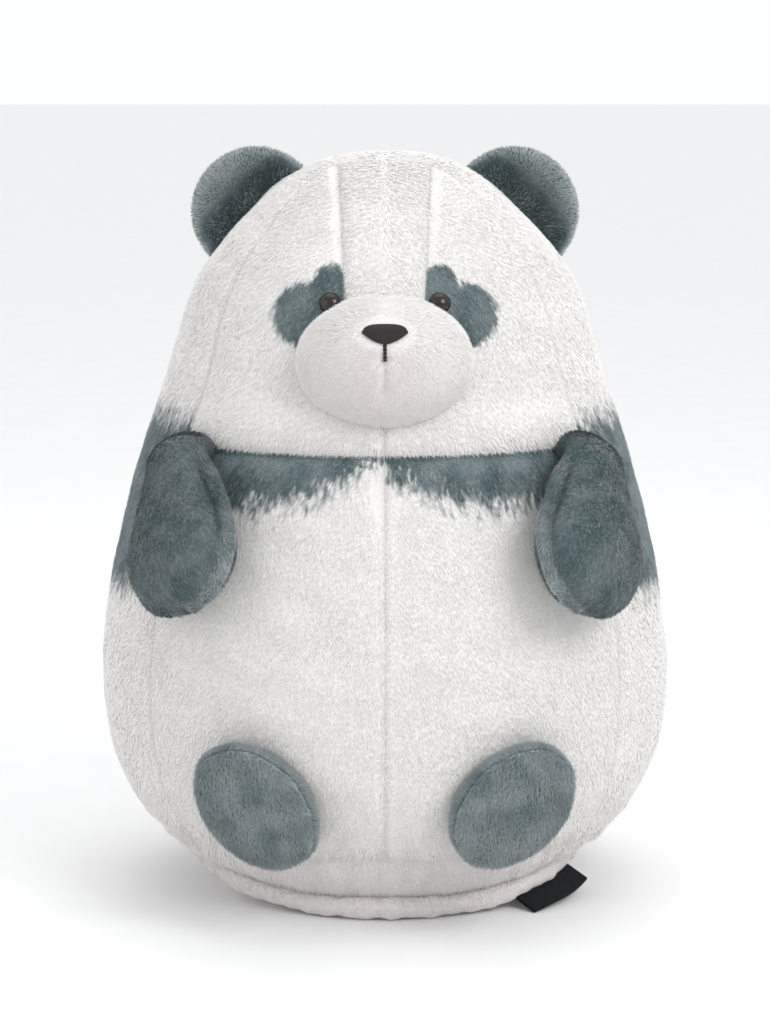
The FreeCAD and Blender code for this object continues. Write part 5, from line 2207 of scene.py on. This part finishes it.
# ------------------------------------------------------------------ studio
@dataclass
class Room:
    """Floor, lights and camera."""

    distance: float = 1200.0
    elevation: float = 9.5
    aim: float = 145.0
    lens: float = 143.3

    def build(self) -> None:
        """Put everything round the panda."""
        self.floor()
        self.light("key", (650.0, -760.0, 780.0), 600.0, 5.6)
        self.light("fill", (-850.0, -620.0, 420.0), 800.0, 1.3)
        self.light("top", (0.0, 150.0, 1150.0), 900.0, 2.2)
        world = bpy.data.worlds.new("room")
        world.use_nodes = True
        world.node_tree.nodes["Background"].inputs["Color"].default_value = rgba(0.985, 0.99, 1.0)
        world.node_tree.nodes["Background"].inputs["Strength"].default_value = 1.0
        bpy.context.scene.world = world
        bpy.context.scene.view_settings.view_transform = "Standard"
        self.camera()

    def floor(self) -> None:
        """A wide level floor."""
        reach = np.linspace(-9000.0, 9000.0, 10)
        points = np.array([[x, y, 0.0] for y in reach for x in reach])
        obj = mesh_object("floor", points, [tuple(reversed(f)) for f in grid_faces(10, 10)])
        obj.data.materials.append(Studio().material())

    def light(self, name: str, place: tuple, size: float, power: float) -> None:
        """A square soft light aimed at the panda."""
        data = bpy.data.lights.new(name, "AREA")
        data.size = size * MM
        data.energy = power
        obj = bpy.data.objects.new(name, data)
        obj.location = Vector(place) * MM
        target = Vector((0.0, 0.0, self.aim)) * MM
        obj.rotation_euler = (target - obj.location).to_track_quat("-Z", "Y").to_euler()
        bpy.context.scene.collection.objects.link(obj)

    def camera(self) -> None:
        """A long lens a little above the panda's face."""
        data = bpy.data.cameras.new("camera")
        data.sensor_fit = "HORIZONTAL"
        data.sensor_width = 36.0
        data.lens = self.lens
        obj = bpy.data.objects.new("camera", data)
        rise = math.radians(self.elevation)
        spot = Vector((0.0, -self.distance * math.cos(rise), self.aim + self.distance * math.sin(rise)))
        obj.location = spot * MM
        target = Vector((0.0, 0.0, self.aim)) * MM
        obj.rotation_euler = (target - obj.location).to_track_quat("-Z", "Y").to_euler()
        bpy.context.scene.collection.objects.link(obj)
        bpy.context.scene.camera = obj


def make_finishes() -> dict[str, bpy.types.Material]:
    """Every material of the toy, by the name that the classes use."""
    finishes = {
        "torso cloth": Plush(Pattern.TORSO), "torso pile": Plush(Pattern.TORSO, pile=True),
        "white cloth": Plush(Pattern.WHITE), "white pile": Plush(Pattern.WHITE, pile=True),
        "slate cloth": Plush(Pattern.SLATE), "slate pile": Plush(Pattern.SLATE, pile=True),
        "muzzle cloth": Plush(Pattern.MUZZLE), "muzzle pile": Plush(Pattern.MUZZLE, pile=True),
        "thread": Thread(),
        "eye": Moulded("eye plastic", rgba(0.006, 0.004, 0.003), rgba(0.018, 0.011, 0.008), 0.1, 0.0),
        "washer": Moulded("washer plastic", rgba(0.72, 0.72, 0.68), rgba(0.6, 0.6, 0.57), 0.45),
        "pellet": Moulded("pellet plastic", rgba(0.7, 0.7, 0.68), rgba(0.55, 0.56, 0.55), 0.4),
        "fibre": Woven("polyester fibre", rgba(0.82, 0.82, 0.8), rgba(0.7, 0.7, 0.68), 0.8, 0.85),
        "lining": Woven("lining cloth", rgba(0.68, 0.67, 0.63), rgba(0.6, 0.58, 0.55), 0.6),
        "ribbon": Woven("ribbon", rgba(0.004, 0.005, 0.006), rgba(0.010, 0.012, 0.014), 0.35, 0.6),
    }
    return {name: finish.material() for name, finish in finishes.items()}


def dress_hidden_nodes(shop: Workshop) -> None:
    """Give the CAD nodes that stay inside the toy their own finishes."""
    kept = {
        "pellet_bag": "lining", "pellets": "pellet",
        "left_eye_washer": "washer", "right_eye_washer": "washer",
    }
    for node, finish in kept.items():
        mesh = shop.frame.data["nodes"][node].data
        mesh.materials.clear()
        mesh.materials.append(shop.finishes[finish])


def main() -> None:
    """Build the panda in order, from the torso outwards."""
    logging.basicConfig(level=logging.INFO)
    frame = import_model()
    shop = Workshop(Frame(frame), PileTree(), ThreadTree(), make_finishes())
    torso = Torso(shop)
    torso.build()
    Base(shop, torso.skin).build()
    Muzzle(shop).build()
    Eyes(shop).build()
    for name, side in SIDES:
        Arm(shop, name, side).build()
        Foot(shop, name, side).build()
        Ear(shop, name, side).build()
    Tail(shop).build()
    Label(shop).build()
    dress_hidden_nodes(shop)
    Room().build()


if __name__ == "__main__":
    main()
